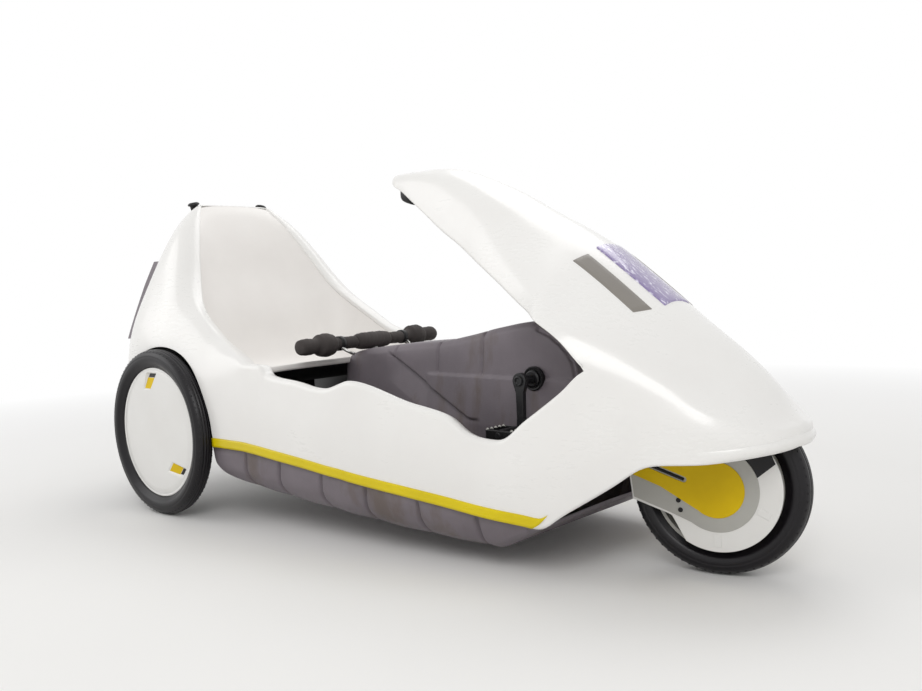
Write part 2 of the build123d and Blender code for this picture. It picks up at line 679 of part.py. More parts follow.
spine = spine_tube(TUBE)
head_plane = Plane(origin=head_mid, z_dir=STEER_DIR)
spine = spine + head_plane * Cylinder(HEAD_R, HEAD_LEN)
spine = spine - head_plane * Cylinder(STEERER_R + RUN_CLEAR, HEAD_LEN * 2)
beam = y_cyl(BEAM_R, 2 * (TYRE_Y - REAR_HUB_W / 2 - RUN_CLEAR), REAR_X, 0, REAR_R)
strut = bx(REAR_X, SPINE_BACK_X + TUBE / 2, TUBE / 2, SPINE_Z - TUBE / 2, REAR_R)
keep("frame", spine + strut + beam)
axle = y_cyl(AXLE_R, WIDTH - 4 * HUBCAP_T, REAR_X, 0, REAR_R)
bracket = y_cyl(BB_R, 2 * (HUMP_HALF_W + BB_OUT), CRANK_X, 0, CRANK_Z)
keep("bottom_bracket", bracket - y_cyl(CRANK_AXLE_R + RUN_CLEAR, WIDTH, CRANK_X, 0, CRANK_Z))

# heavy blocks
motor = place(Box(MOTOR_L, MOTOR_W, MOTOR_H), REAR_X, 0, REAR_R + MOTOR_H / 2 + BEAM_R / 2)
motor = motor - y_cyl(BEAM_R, WIDTH, REAR_X, 0, REAR_R) - strut
keep("motor_block", motor - seat_room(SEAT_T + RUN_CLEAR))
battery_z = SPINE_Z + TUBE / 2 + BATTERY_H / 2
keep("battery_block", place(Box(BATTERY_L, BATTERY_W, BATTERY_H), BATTERY_X, 0, battery_z))


# wheels, made about the Y axis at the origin
def tyre(r, w, bead):
    s = TYRE_SHOULDER
    half = w / 2
    edge = bead + (r - bead) * TYRE_BULGE_SHARE
    corner = half * TREAD_CORNER_SHARE
    lines = [
        Line((bead, -half + s / 2), (bead, half - s / 2)),
        ThreePointArc((bead, half - s / 2), (edge, half), (r - s / 3, corner)),
        ThreePointArc((r - s / 3, corner), (r, 0), (r - s / 3, -corner)),
        ThreePointArc((r - s / 3, -corner), (edge, -half), (bead, -half + s / 2)),
    ]
    return revolve(Plane.XY * make_face(lines), Axis.Y)


def rim(bead, w, hub_r, hub_w, web_y, bore):
    half = w / 2
    ring = y_cyl(bead, w - TYRE_SHOULDER, 0, 0, 0) - y_cyl(bead - RIM_LIP, w * 2, 0, 0, 0)
    disc = y_cyl(bead - RIM_LIP / 2, WEB, 0, web_y, 0)
    hub = y_cyl(hub_r, hub_w, 0, 0, 0)
    return ring + disc + hub - y_cyl(bore, w * 4, 0, 0, 0)


rear_tyre = tyre(REAR_R, REAR_TYRE_W, REAR_BEAD_R)
cap_y = REAR_TYRE_W / 2 - HUBCAP_T
rear_rim = y_cyl(REAR_BEAD_R, REAR_TYRE_W - TYRE_SHOULDER, 0, 0, 0)
rear_rim = rear_rim - y_cyl(REAR_BEAD_R - RIM_LIP, REAR_TYRE_W, 0, 0, 0)
rear_rim = rear_rim + y_cyl(REAR_BEAD_R - RIM_LIP / 2, WEB, 0, 0, 0)
rear_rim = rear_rim + y_cyl(REAR_HUB_R, cap_y + REAR_HUB_W / 2, 0, (cap_y - REAR_HUB_W / 2) / 2, 0)
rear_rim = rear_rim - y_cyl(AXLE_R + RUN_CLEAR, WIDTH, 0, 0, 0)
ring_y = (REAR_TYRE_W - TYRE_SHOULDER) / 2
cap_profile = [(0, cap_y), (0, cap_y + HUBCAP_T), (HUBCAP_R * HUBCAP_FLAT_SHARE, cap_y + HUBCAP_T)]
cap_profile += [(HUBCAP_R, cap_y), (HUBCAP_R, ring_y)]
cap_profile += [(HUBCAP_R - HUBCAP_T, ring_y), (HUBCAP_R - HUBCAP_T, cap_y)]
cap = revolve(make_face(Plane.XY * Polyline(*cap_profile, close=True)), Axis.Y)


def pocket(angle, r0, r1, thick, y):
    # the angle is seen from the right side of the vehicle, 0 forward
    mid = (r0 + r1) / 2
    block = Pos(mid, 0, 0) * Box(r1 - r0, thick, POCKET_W)
    return Pos(0, y, 0) * Rot(0, -angle, 0) * block


pocket_y = cap_y + HUBCAP_T - POCKET_SINK / 2
for p in POCKETS:
    cap = cap - pocket(p.angle, HUBCAP_R - p.start, HUBCAP_R - p.end, POCKET_SINK, pocket_y)
insert_y = cap_y + HUBCAP_T - POCKET_SINK + POCKET_SINK / 4
inserts = [pocket(p.angle, HUBCAP_R - p.start, HUBCAP_R - p.end, POCKET_SINK / 2, insert_y) for p in POCKETS]
wheel = {"rear_tyre": rear_tyre, "rear_rim": rear_rim, "hubcap": cap, "hubcap_insert": Compound(inserts)}
for side, sign in (("left", 1), ("right", -1)):
    for name, shape in wheel.items():
        s = shape if sign > 0 else mirrored(shape)
        keep(name + "_" + side, place(s, REAR_X, sign * TYRE_Y, REAR_R))
keep("rear_axle", axle - beam)
nodes["frame"] = nodes["frame"] - axle
channel = spine_tube(TUBE + 2 * RUN_CLEAR)
for name in ("belly_pan", "centre_hump"):
    nodes[name] = nodes[name] - channel

# front wheel and fork, straight ahead, then turned to the rest angle
def steered(shape):
    return shape.rotate(STEER_AXIS, STEER_REST)


front_tyre = place(tyre(FRONT_R, FRONT_TYRE_W, FRONT_BEAD_R), *HUB)
front_rim = place(rim(FRONT_BEAD_R, FRONT_TYRE_W, FRONT_HUB_R, FRONT_HUB_W, 0, AXLE_R + RUN_CLEAR), *HUB)
keep("front_tyre", steered(front_tyre))
keep("front_rim", steered(front_rim))
cheek_pts = [(HUB.X + a * COVER_R, HUB.Z + b * COVER_R) for a, b in CHEEK_SHARES]
cheek = side_prism(cheek_pts, CHEEK_T / 2) + y_cyl(COVER_R, CHEEK_T, HUB.X, 0, HUB.Z)
crown_mid = HUB + STEER_DIR * (CROWN_S + CROWN_T / 2)
crown_ahead = (cos(radians(RAKE)), 0, sin(radians(RAKE)))
crown_plane = Plane(origin=crown_mid, x_dir=crown_ahead, z_dir=STEER_DIR)
crown_cut = crown_plane * Pos(0, 0, HEIGHT / 2 - CROWN_T / 2) * Box(LENGTH, WIDTH, HEIGHT)
cheek = cheek - crown_cut
cheek = cheek - y_cyl(AXLE_R, WIDTH, HUB.X, 0, HUB.Z)
cheek_left = Pos(0, CHEEK_Y + CHEEK_T / 2, 0) * cheek
for side, s in (("left", cheek_left), ("right", mirrored(cheek_left))):
    keep("fork_cheek_" + side, steered(s))
panel_pts = [(HUB.X + a * COVER_R, HUB.Z + b * COVER_R) for a, b in PANEL_SHARES]
panel = side_prism(panel_pts, PANEL_T / 2) + y_cyl(PANEL_R, PANEL_T, HUB.X, 0, HUB.Z)
panel_left = Pos(0, CHEEK_Y + CHEEK_T + PANEL_T / 2, 0) * panel
cheek_zone = side_prism(cheek_pts, HB) + y_cyl(COVER_R, HB, HUB.X, 0, HUB.Z)
panel_left = panel_left & Pos(0, CHEEK_Y, 0) * cheek_zone
for side, s in (("left", panel_left), ("right", mirrored(panel_left))):
    keep("fork_panel_" + side, steered(s))
crown = crown_plane * Box(CROWN_LEN, 2 * (CHEEK_Y + CHEEK_T), CROWN_T)
steerer = Cylinder(STEERER_R, HEAD_LEN + HEAD_GAP * 2, align=(Align.CENTER, Align.CENTER, Align.MIN))
crown = crown + Plane(origin=HUB + STEER_DIR * (CROWN_S + CROWN_T), z_dir=STEER_DIR) * steerer
keep("fork_crown", steered(crown))
keep("front_axle", steered(y_cyl(AXLE_R, 2 * (CHEEK_Y + CHEEK_T), HUB.X, 0, HUB.Z)))

# cranks and pedals, near arm down
crank = y_cyl(CRANK_AXLE_R, CRANK_AXLE_LEN, CRANK_X, 0, CRANK_Z)
for sign in (-1, 1):
    arm = Box(CRANK_ARM_W, CRANK_ARM_T, CRANK_LEN)
    for end_z in (CRANK_LEN / 2, -CRANK_LEN / 2):
        arm = arm + y_cyl(CRANK_ARM_W / 2, CRANK_ARM_T, 0, 0, end_z)
    crank = crank + place(arm, CRANK_X, sign * CRANK_ARM_Y, CRANK_Z + sign * CRANK_LEN / 2)
    pin_y = sign * (CRANK_ARM_Y + CRANK_ARM_T / 2 + PEDAL_W / 2)
    crank = crank + y_cyl(PEDAL_PIN_R, PEDAL_W, CRANK_X, pin_y, CRANK_Z + sign * CRANK_LEN)
keep("crankset", crank)
for side, sign in (("left", 1), ("right", -1)):
    body = fillet(Box(PEDAL_L, PEDAL_W - PEDAL_PIN_R, PEDAL_T).edges().filter_by(Axis.Y), PEDAL_T / 4)
    body = body - Rot(90, 0, 0) * Cylinder(PEDAL_PIN_R + RUN_CLEAR, PEDAL_W * 2)
    y = sign * (CRANK_ARM_Y + CRANK_ARM_T / 2 + PEDAL_W / 2 + PEDAL_PIN_R / 2)
    keep("pedal_" + side, place(body, CRANK_X, y, CRANK_Z + sign * CRANK_LEN))

# handlebar, straight, then turned with the steering
def barred(shape):
    return shape.rotate(Axis((BAR_X, 0, 0), (0, 0, 1)), BAR_REST)


post_low = BAR_SHARES[1] * HEIGHT + POST_GAP
bar = y_cyl(BAR_R, 2 * (BAR_HALF - KNOB_LEN), BAR_X, 0, BAR_Z)
keep("handlebar", barred(bar))
pad = y_cyl(PAD_R, PAD_LEN, BAR_X, 0, BAR_Z) - y_cyl(BAR_R, WIDTH, BAR_X, 0, BAR_Z)
post = Cylinder(POST_R, BAR_Z - post_low, align=(Align.CENTER, Align.CENTER, Align.MIN))
post = Pos(BAR_X, 0, post_low) * post
post = post - y_cyl(PAD_R, WIDTH, BAR_X, 0, BAR_Z)
keep("bar_post", barred(post))
keep("bar_pad", barred(pad))
grip = y_cyl(GRIP_R, GRIP_LEN, BAR_X, BAR_HALF - KNOB_LEN - GRIP_LEN / 2, BAR_Z)
grip = grip + y_cyl(KNOB_R, KNOB_LEN, BAR_X, BAR_HALF - KNOB_LEN / 2, BAR_Z)
grip = grip + y_cyl(KNOB_R, COLLAR_LEN, BAR_X, BAR_HALF - KNOB_LEN - GRIP_LEN - COLLAR_LEN / 2, BAR_Z)
grip = grip - y_cyl(BAR_R, 2 * (BAR_HALF - KNOB_LEN), BAR_X, 0, BAR_Z)
clamp_y = BAR_HALF - KNOB_LEN - GRIP_LEN - COLLAR_LEN - CLAMP_W
lever = y_cyl(CLAMP_R, CLAMP_W, BAR_X, clamp_y, BAR_Z)
stalk_z = BAR_Z - CLAMP_R - LEVER_DROP / 2 + LEVER_R
lever = lever + place(Box(CLAMP_W, CLAMP_W, LEVER_DROP), BAR_X, clamp_y, stalk_z)
lever = lever - y_cyl(BAR_R, WIDTH, BAR_X, 0, BAR_Z)
lever_z = BAR_Z - CLAMP_R - LEVER_DROP + 2 * LEVER_R
lever = lever + y_cyl(LEVER_R, LEVER_LEN, BAR_X, clamp_y + LEVER_LEN / 2, lever_z)
for name, shape in (("grip", grip), ("brake_lever", lever)):
    keep(name + "_left", barred(shape))
    keep(name + "_right", barred(mirrored(shape)))

os.makedirs("parts", exist_ok=True)
for name, shape in nodes.items():
    shape.label = name
    export_step(shape, "parts/" + name + ".step")
print("steer axis", HUB, STEER_DIR, "nodes", len(nodes))
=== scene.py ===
# %% [markdown]
# A small enclosed three-wheeler with pedals, a reclined bucket seat and a wedge nose. The exact pieces that
# turn and carry load come from the imported model, and this lesson dresses them. The first cell loads that
# model and keeps its pieces and its record. Nothing that is made below may reach outside it.

# %% Load the frame
import bpy
import bmesh
import json
import math
import numpy as np
from mathutils import Matrix, Vector
from mathutils.bvhtree import BVHTree


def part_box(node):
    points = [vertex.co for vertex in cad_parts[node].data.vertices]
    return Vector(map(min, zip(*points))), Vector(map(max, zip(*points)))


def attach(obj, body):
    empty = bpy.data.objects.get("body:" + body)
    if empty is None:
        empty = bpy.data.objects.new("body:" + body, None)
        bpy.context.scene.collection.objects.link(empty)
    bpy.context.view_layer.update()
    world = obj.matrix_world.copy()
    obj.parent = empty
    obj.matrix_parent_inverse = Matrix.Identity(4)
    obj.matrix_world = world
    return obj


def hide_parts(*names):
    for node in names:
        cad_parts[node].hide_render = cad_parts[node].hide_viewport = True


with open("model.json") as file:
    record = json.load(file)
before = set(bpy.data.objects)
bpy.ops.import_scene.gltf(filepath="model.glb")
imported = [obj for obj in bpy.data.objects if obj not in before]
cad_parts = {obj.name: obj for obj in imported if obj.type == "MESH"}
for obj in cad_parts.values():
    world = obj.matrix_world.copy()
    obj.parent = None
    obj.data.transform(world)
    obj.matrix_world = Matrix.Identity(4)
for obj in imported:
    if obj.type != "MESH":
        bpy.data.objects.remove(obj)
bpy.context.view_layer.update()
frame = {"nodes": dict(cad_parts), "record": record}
MM = 0.001

# %% [markdown]
# Every surface needs a finish that is made of nodes. Node trees are hard to
# read as lists of links, so a small class lets a socket be used in a sum, as
# in 1 - mask, and one method adds any other node with its settings and inputs.

# %% Shader sums
def feed(tree, socket, value):
    # an input takes another node's output, or a plain number, colour or vector
    source = getattr(value, "socket", value)
    if isinstance(source, bpy.types.NodeSocket):
        tree.links.new(source, socket)
    else:
        socket.default_value = source


def add_node(tree, kind, settings=None, inputs=None):
    # settings come first, because some of them change which inputs there are
    made = tree.nodes.new(kind)
    for key, value in (settings or {}).items():
        setattr(made, key, value)
    for key, value in (inputs or {}).items():
        feed(tree, made.inputs[key], value)
    return made.outputs


class Value:
    def __init__(self, paint, socket):
        self.paint = paint
        self.socket = socket

    def math(self, kind, other, first=False, clamp=False):
        pair = (other, self) if first else (self, other)
        settings = {"operation": kind, "use_clamp": clamp}
        return self.paint.node("ShaderNodeMath", settings, dict(enumerate(pair)))

    def __add__(self, other):
        return self.math("ADD", other)

    def __radd__(self, other):
        return self.math("ADD", other, True)

    def __sub__(self, other):
        return self.math("SUBTRACT", other)

    def __rsub__(self, other):
        return self.math("SUBTRACT", other, True)

    def __mul__(self, other):
        return self.math("MULTIPLY", other)

    def __rmul__(self, other):
        return self.math("MULTIPLY", other, True)

    def above(self, edge, soft):
        return ((self - edge) * (1 / soft)).math("ADD", 0.5, clamp=True)


print("shader sums ready")

# %% [markdown]
# A finish is one Principled shader, whose sockets are set by their names. Its
# patterns read Object coordinates, so they stay on a piece that moves. Colours
# are written as they are seen, from 0 to 255, because they are easier to
# compare with a photograph that way.

# %% One finish
class Paint:
    def __init__(self, name, **constants):
        self.material = bpy.data.materials.new(name)
        self.material.use_nodes = True
        self.tree = self.material.node_tree
        self.tree.nodes.clear()
        self.out = self.tree.nodes.new("ShaderNodeOutputMaterial")
        self.shader = self.tree.nodes.new("ShaderNodeBsdfPrincipled")
        self.tree.links.new(self.shader.outputs[0], self.out.inputs[0])
        self.set(**constants)
        self.place = self.node("ShaderNodeTexCoord", out="Object")

    def node(self, kind, settings=None, sockets=None, out=0):
        return Value(self, add_node(self.tree, kind, settings, sockets)[out])

    def set(self, **values):
        for key, value in values.items():
            feed(self.tree, self.shader.inputs[key.replace("_", " ")], value)

    def noise(self, scale, detail=3.0, rough=0.55, place=None):
        sockets = {"Vector": place or self.place, "Scale": scale, "Detail": detail, "Roughness": rough}
        return self.node("ShaderNodeTexNoise", sockets=sockets)

    def speckle(self, scale):
        return self.node("ShaderNodeTexVoronoi", sockets={"Vector": self.place, "Scale": scale})

    def mix(self, share, first, second):
        return self.node("ShaderNodeMix", {"data_type": "RGBA"}, {0: share, 6: first, 7: second}, out=2)

    def stretched(self, x, y, z):
        return self.node("ShaderNodeMapping", sockets={"Vector": self.place, "Scale": (x, y, z)})

    def bump(self, height, strength, distance):
        sockets = {"Strength": strength, "Distance": distance, "Height": height}
        self.set(Normal=self.node("ShaderNodeBump", sockets=sockets))


def tone(red, green, blue):
    # a colour as it is seen, 0 to 255, as the shader wants it
    line = [((c / 255 + 0.055) / 1.055) ** 2.4 if c > 10 else c / 255 / 12.92 for c in (red, green, blue)]
    return (*line, 1.0)


paints = {}
print("paint tools ready")

# %% [markdown]
# The shell is white moulded plastic with a gloss. A real one is never one flat
# white: it yellows a little, dust settles in a low veil and fine scuffs dull
# the gloss in patches. All of these vary slowly over the whole body.

# %% Shell finishes
def plastic(name, light, dark, rough, grain, scuff, coat, patch, shine):
    paint = Paint(name, Coat_Weight=coat, Coat_Roughness=0.12, Specular_IOR_Level=shine)
    wide = paint.noise(patch, 4.0)
    fine = paint.noise(90.0, 2.0)
    marks = paint.noise(22.0, 5.0, 0.7, paint.stretched(1.0, 3.0, 6.0))
    share = (wide * 0.92 + marks * 0.08).above(0.5, 0.45)
    paint.set(Base_Color=paint.mix(share, tone(*light), tone(*dark)))
    paint.set(Roughness=rough + (marks - 0.5) * scuff + (wide - 0.5) * scuff)
    paint.bump(fine * 0.4 + wide * 0.6, grain, 0.0006)
    return paint


SHELL_FINISHES = [
    # slot, name, pale tone, dark tone, roughness, grain, scuffs, coat, size of patches, shine
    ("white_shell", "white shell", (238, 237, 234), (232, 230, 227), 0.28, 0.014, 0.04, 0.3, 5.0, 0.5),
    ("light_plastic", "light plastic", (228, 227, 224), (219, 217, 213), 0.30, 0.04, 0.05, 0.2, 5.0, 0.5),
    ("seat_grey", "seat shell", (240, 237, 233), (233, 229, 225), 0.42, 0.2, 0.08, 0.0, 5.0, 0.5),
    ("yellow_stripe", "yellow stripe", (224, 202, 0), (210, 188, 0), 0.30, 0.04, 0.12, 0.1, 9.0, 0.3),
    ("yellow_panel", "yellow panel", (222, 188, 0), (206, 172, 0), 0.45, 0.06, 0.12, 0.0, 12.0, 0.2),
    ("lamp_grey", "lamp side band", (136, 131, 124), (120, 115, 109), 0.40, 0.2, 0.12, 0.0, 5.0, 0.5),
    ("rim_grey", "wheel grey", (178, 177, 170), (158, 156, 150), 0.36, 0.15, 0.12, 0.1, 5.0, 0.5),
]
for slot, *looks in SHELL_FINISHES:
    paints[slot] = plastic(*looks)
print("shell finishes", len(paints))

# %% [markdown]
# The hump and the belly pan are coarse grey plastic with a leathery grain, and this one is used: pale dust
# lies in wide patches and brown mud runs down the side. The mud is noise that is stretched along the height,
# so it streaks.

# %% Grained grey and black finishes
def grained(name, light, dark, rough, mud, shine):
    paint = Paint(name, Specular_IOR_Level=shine)
    wide = paint.noise(7.0, 5.0)
    cells = paint.speckle(420.0)
    streak = paint.noise(9.0, 6.0, 0.65, paint.stretched(1.0, 1.0, 0.28))
    colour = paint.mix(wide.above(0.5, 0.5), tone(*light), tone(*dark))
    if mud:
        patchy = streak.above(0.60, 0.12) * mud
        colour = paint.mix(patchy, colour, tone(86, 72, 52))
    paint.set(Base_Color=colour)
    paint.set(Roughness=rough + (wide - 0.5) * 0.2)
    paint.bump(cells * 0.7 + paint.noise(160.0, 3.0) * 0.5, 0.35, 0.0005)
    return paint


GRAINED_FINISHES = [
    # slot, name, pale tone, dark tone, roughness, mud, shine
    ("grey_shell", "grey shell", (122, 114, 120), (102, 95, 100), 0.50, 0.5, 0.4),
    ("black_plastic", "black plastic", (26, 25, 27), (17, 17, 18), 0.40, 0.0, 0.3),
    ("foam_brown", "grip foam", (72, 66, 64), (54, 49, 48), 0.80, 0.0, 0.4),
    ("black_steel", "black steel", (32, 32, 34), (22, 22, 24), 0.34, 0.0, 0.4),
    # a near-black that stands for the unlit inside of the body: painted shade
    ("inside_black", "unlit black", (14, 13, 14), (8, 8, 9), 0.75, 0.0, 0.05),
    ("tyre_black", "tyre rubber", (21, 18, 22), (12, 10, 13), 0.36, 0.0, 0.32),
]
for slot, *looks in GRAINED_FINISHES:
    paints[slot] = grained(*looks)
print("grained finishes", len(paints))

# %% [markdown]
# Two finishes are like nothing else here. The levers are drawn steel, whose
# fine lines run one way, and the head lamp's lens is clear plastic with ribs
# inside, which is shown by its colour, its ribs and a hard coat.

# %% Steel and lens
steel = Paint("bright steel", Metallic=1.0)
lines = steel.noise(40.0, 3.0, 0.6, steel.stretched(1.0, 12.0, 1.0))
steel.set(Base_Color=steel.mix(lines, tone(190, 190, 188), tone(150, 149, 146)))
steel.set(Roughness=0.24 + lines * 0.25)
paints["steel"] = steel

lens = Paint("lamp lens", Coat_Weight=0.8, Coat_Roughness=0.03)
ribs = lens.node("ShaderNodeTexWave", {"bands_direction": "Y"}, {"Vector": lens.place, "Scale": 90.0})
patches = lens.noise(70.0, 3.0, 0.5, lens.stretched(1.0, 2.6, 1.0))
lens.set(Base_Color=lens.mix(patches.above(0.62, 0.12), tone(136, 122, 166), tone(226, 222, 240)))
lens.set(Roughness=0.10 + patches * 0.12)
lens.bump(ribs, 0.25, 0.0008)
paints["lens_clear"] = lens
print("finishes", sorted(paints))

# %% [markdown]
# Most pieces are sheets of points: rows of points that are joined to faces.
# One helper adds a grid of them, another puts grids together and closes their
# ends, and a third turns the faces outwards and gives the piece its material,
# its body and the node it stands for. Pieces that are the same on both sides
# are made from one half, and doubles on the middle line merge.

# %% Mesh helpers
SIDES = (("left", 1), ("right", -1))


def add_grid(points, faces, grid, wrap=False):
    # grid is an array of rows x columns x 3, in millimetres
    rows, columns = grid.shape[:2]
    start = len(points)
    points.extend(grid.reshape(-1, 3).tolist())
    for i in range(start, start + (rows - 1) * columns, columns):
        for j in range(columns if wrap else columns - 1):
            k = (j + 1) % columns
            faces.append((i + j, i + k, i + columns + k, i + columns + j))


def sheet(*grids, wrap=False, ends=False):
    # ends closes the first and the last row of a single grid
    points, faces = [], []
    for grid in grids:
        add_grid(points, faces, np.array(grid, float), wrap)
    if ends:
        n = len(grids[0][0])
        faces += [tuple(range(n)), tuple(range(len(points) - n, len(points)))]
    return points, faces


def rounded(piece, width, segments=2, angle=35.0):
    edge = piece.modifiers.new("edge", "BEVEL")
    edge.width = width * MM
    edge.segments = segments
    edge.limit_method = "ANGLE"
    edge.angle_limit = math.radians(angle)
    return piece


def make_piece(name, mesh, slot, body, nodes=(), mirror=False, weld=0.05, smooth=True, edge=None):
    shape = bmesh.new()
    for side in (1, -1) if mirror else (1,):
        verts = [shape.verts.new((x * MM, side * y * MM, z * MM)) for x, y, z in mesh[0]]
        for face in mesh[1]:
            corners = [verts[i] for i in (face if side > 0 else reversed(face))]
            if len(set(corners)) == len(corners):
                shape.faces.new(corners)
    bmesh.ops.remove_doubles(shape, verts=shape.verts, dist=weld * MM)
    loose = [v for v in shape.verts if not v.link_faces]
    bmesh.ops.delete(shape, geom=loose, context="VERTS")
    bmesh.ops.recalc_face_normals(shape, faces=shape.faces)
    for face in shape.faces:
        face.smooth = smooth
    data = bpy.data.meshes.new(name)
    shape.to_mesh(data)
    shape.free()
    data.materials.append(paints[slot].material)
    piece = bpy.data.objects.new(name, data)
    bpy.context.scene.collection.objects.link(piece)
    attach(piece, body)
    if nodes:
        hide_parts(*nodes)
    return rounded(piece, *edge) if edge else piece


def thicken(piece, wall, levels=1, offset=-1.0):
    if levels:
        soft = piece.modifiers.new("soft", "SUBSURF")
        soft.levels = soft.render_levels = levels
    shell = piece.modifiers.new("wall", "SOLIDIFY")
    shell.thickness = wall * MM
    shell.offset = offset


print("mesh tools ready")

# %% [markdown]
# The tables below hold a few measured places, and a curve joins them. It must
# not swing past its points, as a spline does, because the shell would get
# dents, so each slope is kept between those of its neighbours.

# %% Smooth curves
def slopes(x, y):
    # slopes of a smooth curve that never overshoots its points
    h = np.diff(x)
    d = np.diff(y, axis=0) / h[:, None]
    m = np.zeros_like(y)
    same = (d[:-1] * d[1:]) > 0
    w1 = (2 * h[1:] + h[:-1])[:, None]
    w2 = (h[1:] + 2 * h[:-1])[:, None]
    with np.errstate(divide="ignore", invalid="ignore"):
        inner = (w1 + w2) / (w1 / d[:-1] + w2 / d[1:])
    m[1:-1] = np.where(same, inner, 0.0)
    m[0] = d[0]
    m[-1] = d[-1]
    return m


def curve_at(table, at):
    # each row of the table starts with its own place; the rest follows smoothly
    table = np.asarray(table, float)
    table = table[np.argsort(table[:, 0])]
    x, y = table[:, 0], table[:, 1:]
    m = slopes(x, y)
    at = np.atleast_1d(np.clip(at, x[0], x[-1]))
    i = np.clip(np.searchsorted(x, at) - 1, 0, len(x) - 2)
    h = (x[i + 1] - x[i])[:, None]
    t = ((at - x[i]) / (x[i + 1] - x[i]))[:, None]
    a = (1 + 2 * t) * (1 - t) ** 2 * y[i] + t * (1 - t) ** 2 * h * m[i]
    return a + t * t * (3 - 2 * t) * y[i + 1] + t * t * (t - 1) * h * m[i + 1]


def ramp(value, start, over):
    # 0 at the start and 1 a length after it; with a negative length it falls
    return np.clip((value - start) / over, 0, 1)


def lerp(first, last, count):
    return [first + (last - first) * k / count for k in range(count)]


def turns(steps):
    # angles of even steps round a full circle
    return np.linspace(0, 2 * math.pi, steps, endpoint=False)


def ring_of(radius, steps):
    return [(radius * math.cos(a), radius * math.sin(a)) for a in turns(steps)]


print("curve tools ready")

# %% [markdown]
# The camera stands where the photograph was taken: right of the nose, low, and
# looking back along the body. Its turn is written as three vectors, because
# a matrix of right, up and back is exact and needs no angles in a set order.

# %% Camera
CAMERA_AT = Vector((1.4512, -1.5232, 0.5393))
CAMERA_YAW = -0.732
CAMERA_PITCH = -0.068
CAMERA_ROLL = -0.039
LENS_MM = 35.933
flat_share = math.cos(CAMERA_PITCH)
way = (math.sin(CAMERA_YAW) * flat_share, math.cos(CAMERA_YAW) * flat_share, math.sin(CAMERA_PITCH))
ahead = Vector(way)
level = ahead.cross(Vector((0, 0, 1))).normalized()
above = level.cross(ahead)
right = math.cos(CAMERA_ROLL) * level + math.sin(CAMERA_ROLL) * above
upward = -math.sin(CAMERA_ROLL) * level + math.cos(CAMERA_ROLL) * above
camera_data = bpy.data.cameras.new("camera")
camera_data.lens = LENS_MM
camera = bpy.data.objects.new("camera", camera_data)
bpy.context.scene.collection.objects.link(camera)
camera.matrix_world = Matrix.Translation(CAMERA_AT) @ Matrix((right, upward, -ahead)).transposed().to_4x4()
bpy.context.scene.camera = camera
print("camera at", CAMERA_AT)

# %% [markdown]
# The white body is one smooth moulding that is open where the rider sits. Its
# form is a row of cross-sections along the vehicle. The lower half of each
# section runs from the hem at the belt, over the waist, to the sill, and the
# upper half, the roof pod, from its edge to the ridge. Ahead of the opening
# both halves share a row of points, so they merge to one skin there.

# %% Body tables
# lengths in millimetres; x runs forward from the middle of the vehicle
FLANK = [
    # x, hem_y, hem_z, waist_y, waist_z, edge_y, edge_z
    (-283, 336, 182, 339, 285, 331, 372),
    (-222, 334, 177, 337, 276, 329, 370),
    (-204, 333, 175, 336, 273, 328, 351),
    (-100, 326, 164, 331, 256, 323, 337),
    (-42, 321, 157, 328, 250, 320, 327),
    (-20, 319, 154, 326, 248, 318, 326),
    (20, 316, 150, 323, 246, 316, 337),
    (48, 313, 146, 320, 245, 314, 345),
    (200, 296, 130, 303, 222, 297, 308),
    (290, 284, 120, 290, 205, 284, 287),
    (330, 279, 115, 285, 190, 278, 258),
    (363, 275, 111, 280, 182, 272, 248),
    (398, 268, 107, 273, 178, 266, 246),
    (450, 257, 102, 262, 190, 257, 284),
    (477, 252, 99, 257, 205, 251, 304),
    (520, 240, 127, 244, 240, 240, 338),
    (567, 219, 158, 226, 280, 224, 381),
    (600, 207, 180, 213, 290, 209, 366),
    (663, 185, 220, 188, 296, 181, 342),
    (744, 158, 226, 161, 278, 152, 309),
    (798, 124, 234, 128, 260, 118, 287),
    (827, 91, 239, 96, 256, 87, 278),
    (843, 60, 242, 65, 259, 57, 278),
    (852, 30, 245, 33, 262, 28, 279),
]
ROOF = [
    # x, edge_y, edge_z, shoulder_y, shoulder_z, crown_y, crown_z, ridge_z
    (-88, 22, 782, 20, 786, 12, 791, 793),
    (-80, 34, 772, 32, 779, 22, 790, 795),
    (-40, 48, 752, 46, 765, 34, 788, 795),
    (1, 60, 727, 57, 748, 41, 784, 795),
    (60, 75, 690, 70, 718, 50, 771, 793),
    (116, 90, 654, 84, 692, 58, 756, 783),
    (180, 108, 620, 100, 657, 67, 730, 760),
    (267, 140, 571, 130, 610, 80, 692, 720),
    (330, 164, 537, 152, 574, 88, 654, 684),
    (403, 196, 498, 183, 532, 97, 613, 646),
    (440, 216, 482, 202, 512, 103, 592, 624),
    (476, 241, 465, 225, 486, 108, 567, 602),
    (526, 238, 430, 222, 452, 105, 532, 564),
    (567, 224, 381, 208, 425, 100, 502, 532),
    (600, 209, 366, 196, 405, 94, 478, 506),
    (663, 181, 342, 170, 368, 80, 431, 459),
    (744, 152, 309, 140, 322, 65, 373, 398),
    (798, 118, 287, 106, 297, 50, 329, 346),
    (827, 87, 278, 79, 283, 35, 298, 306),
    (843, 57, 278, 50, 281, 22, 287, 291),
    (852, 28, 279, 25, 280, 12, 283, 284),
]
CORNER_X = 567
LIP_WIDTH = [
    # x, how far the sill's top reaches inwards
    (-283, 40),
    (-181, 30),
    (-100, 26),
    (CORNER_X, 24),
]
SILL_DROP = 28
NOSE_TIP = 856.0
CORNER_FADE = 50
print("sections", len(FLANK), len(ROOF))

# %% [markdown]
# Behind the opening the same skin becomes the tail. Its sections lean in to a
# narrow rim around the seat, the wheel arch is cut in their lower ends, and at
# the back they close over the top. The arch is round, so the sections stand
# closer together towards its two ends, where the circle is steep.

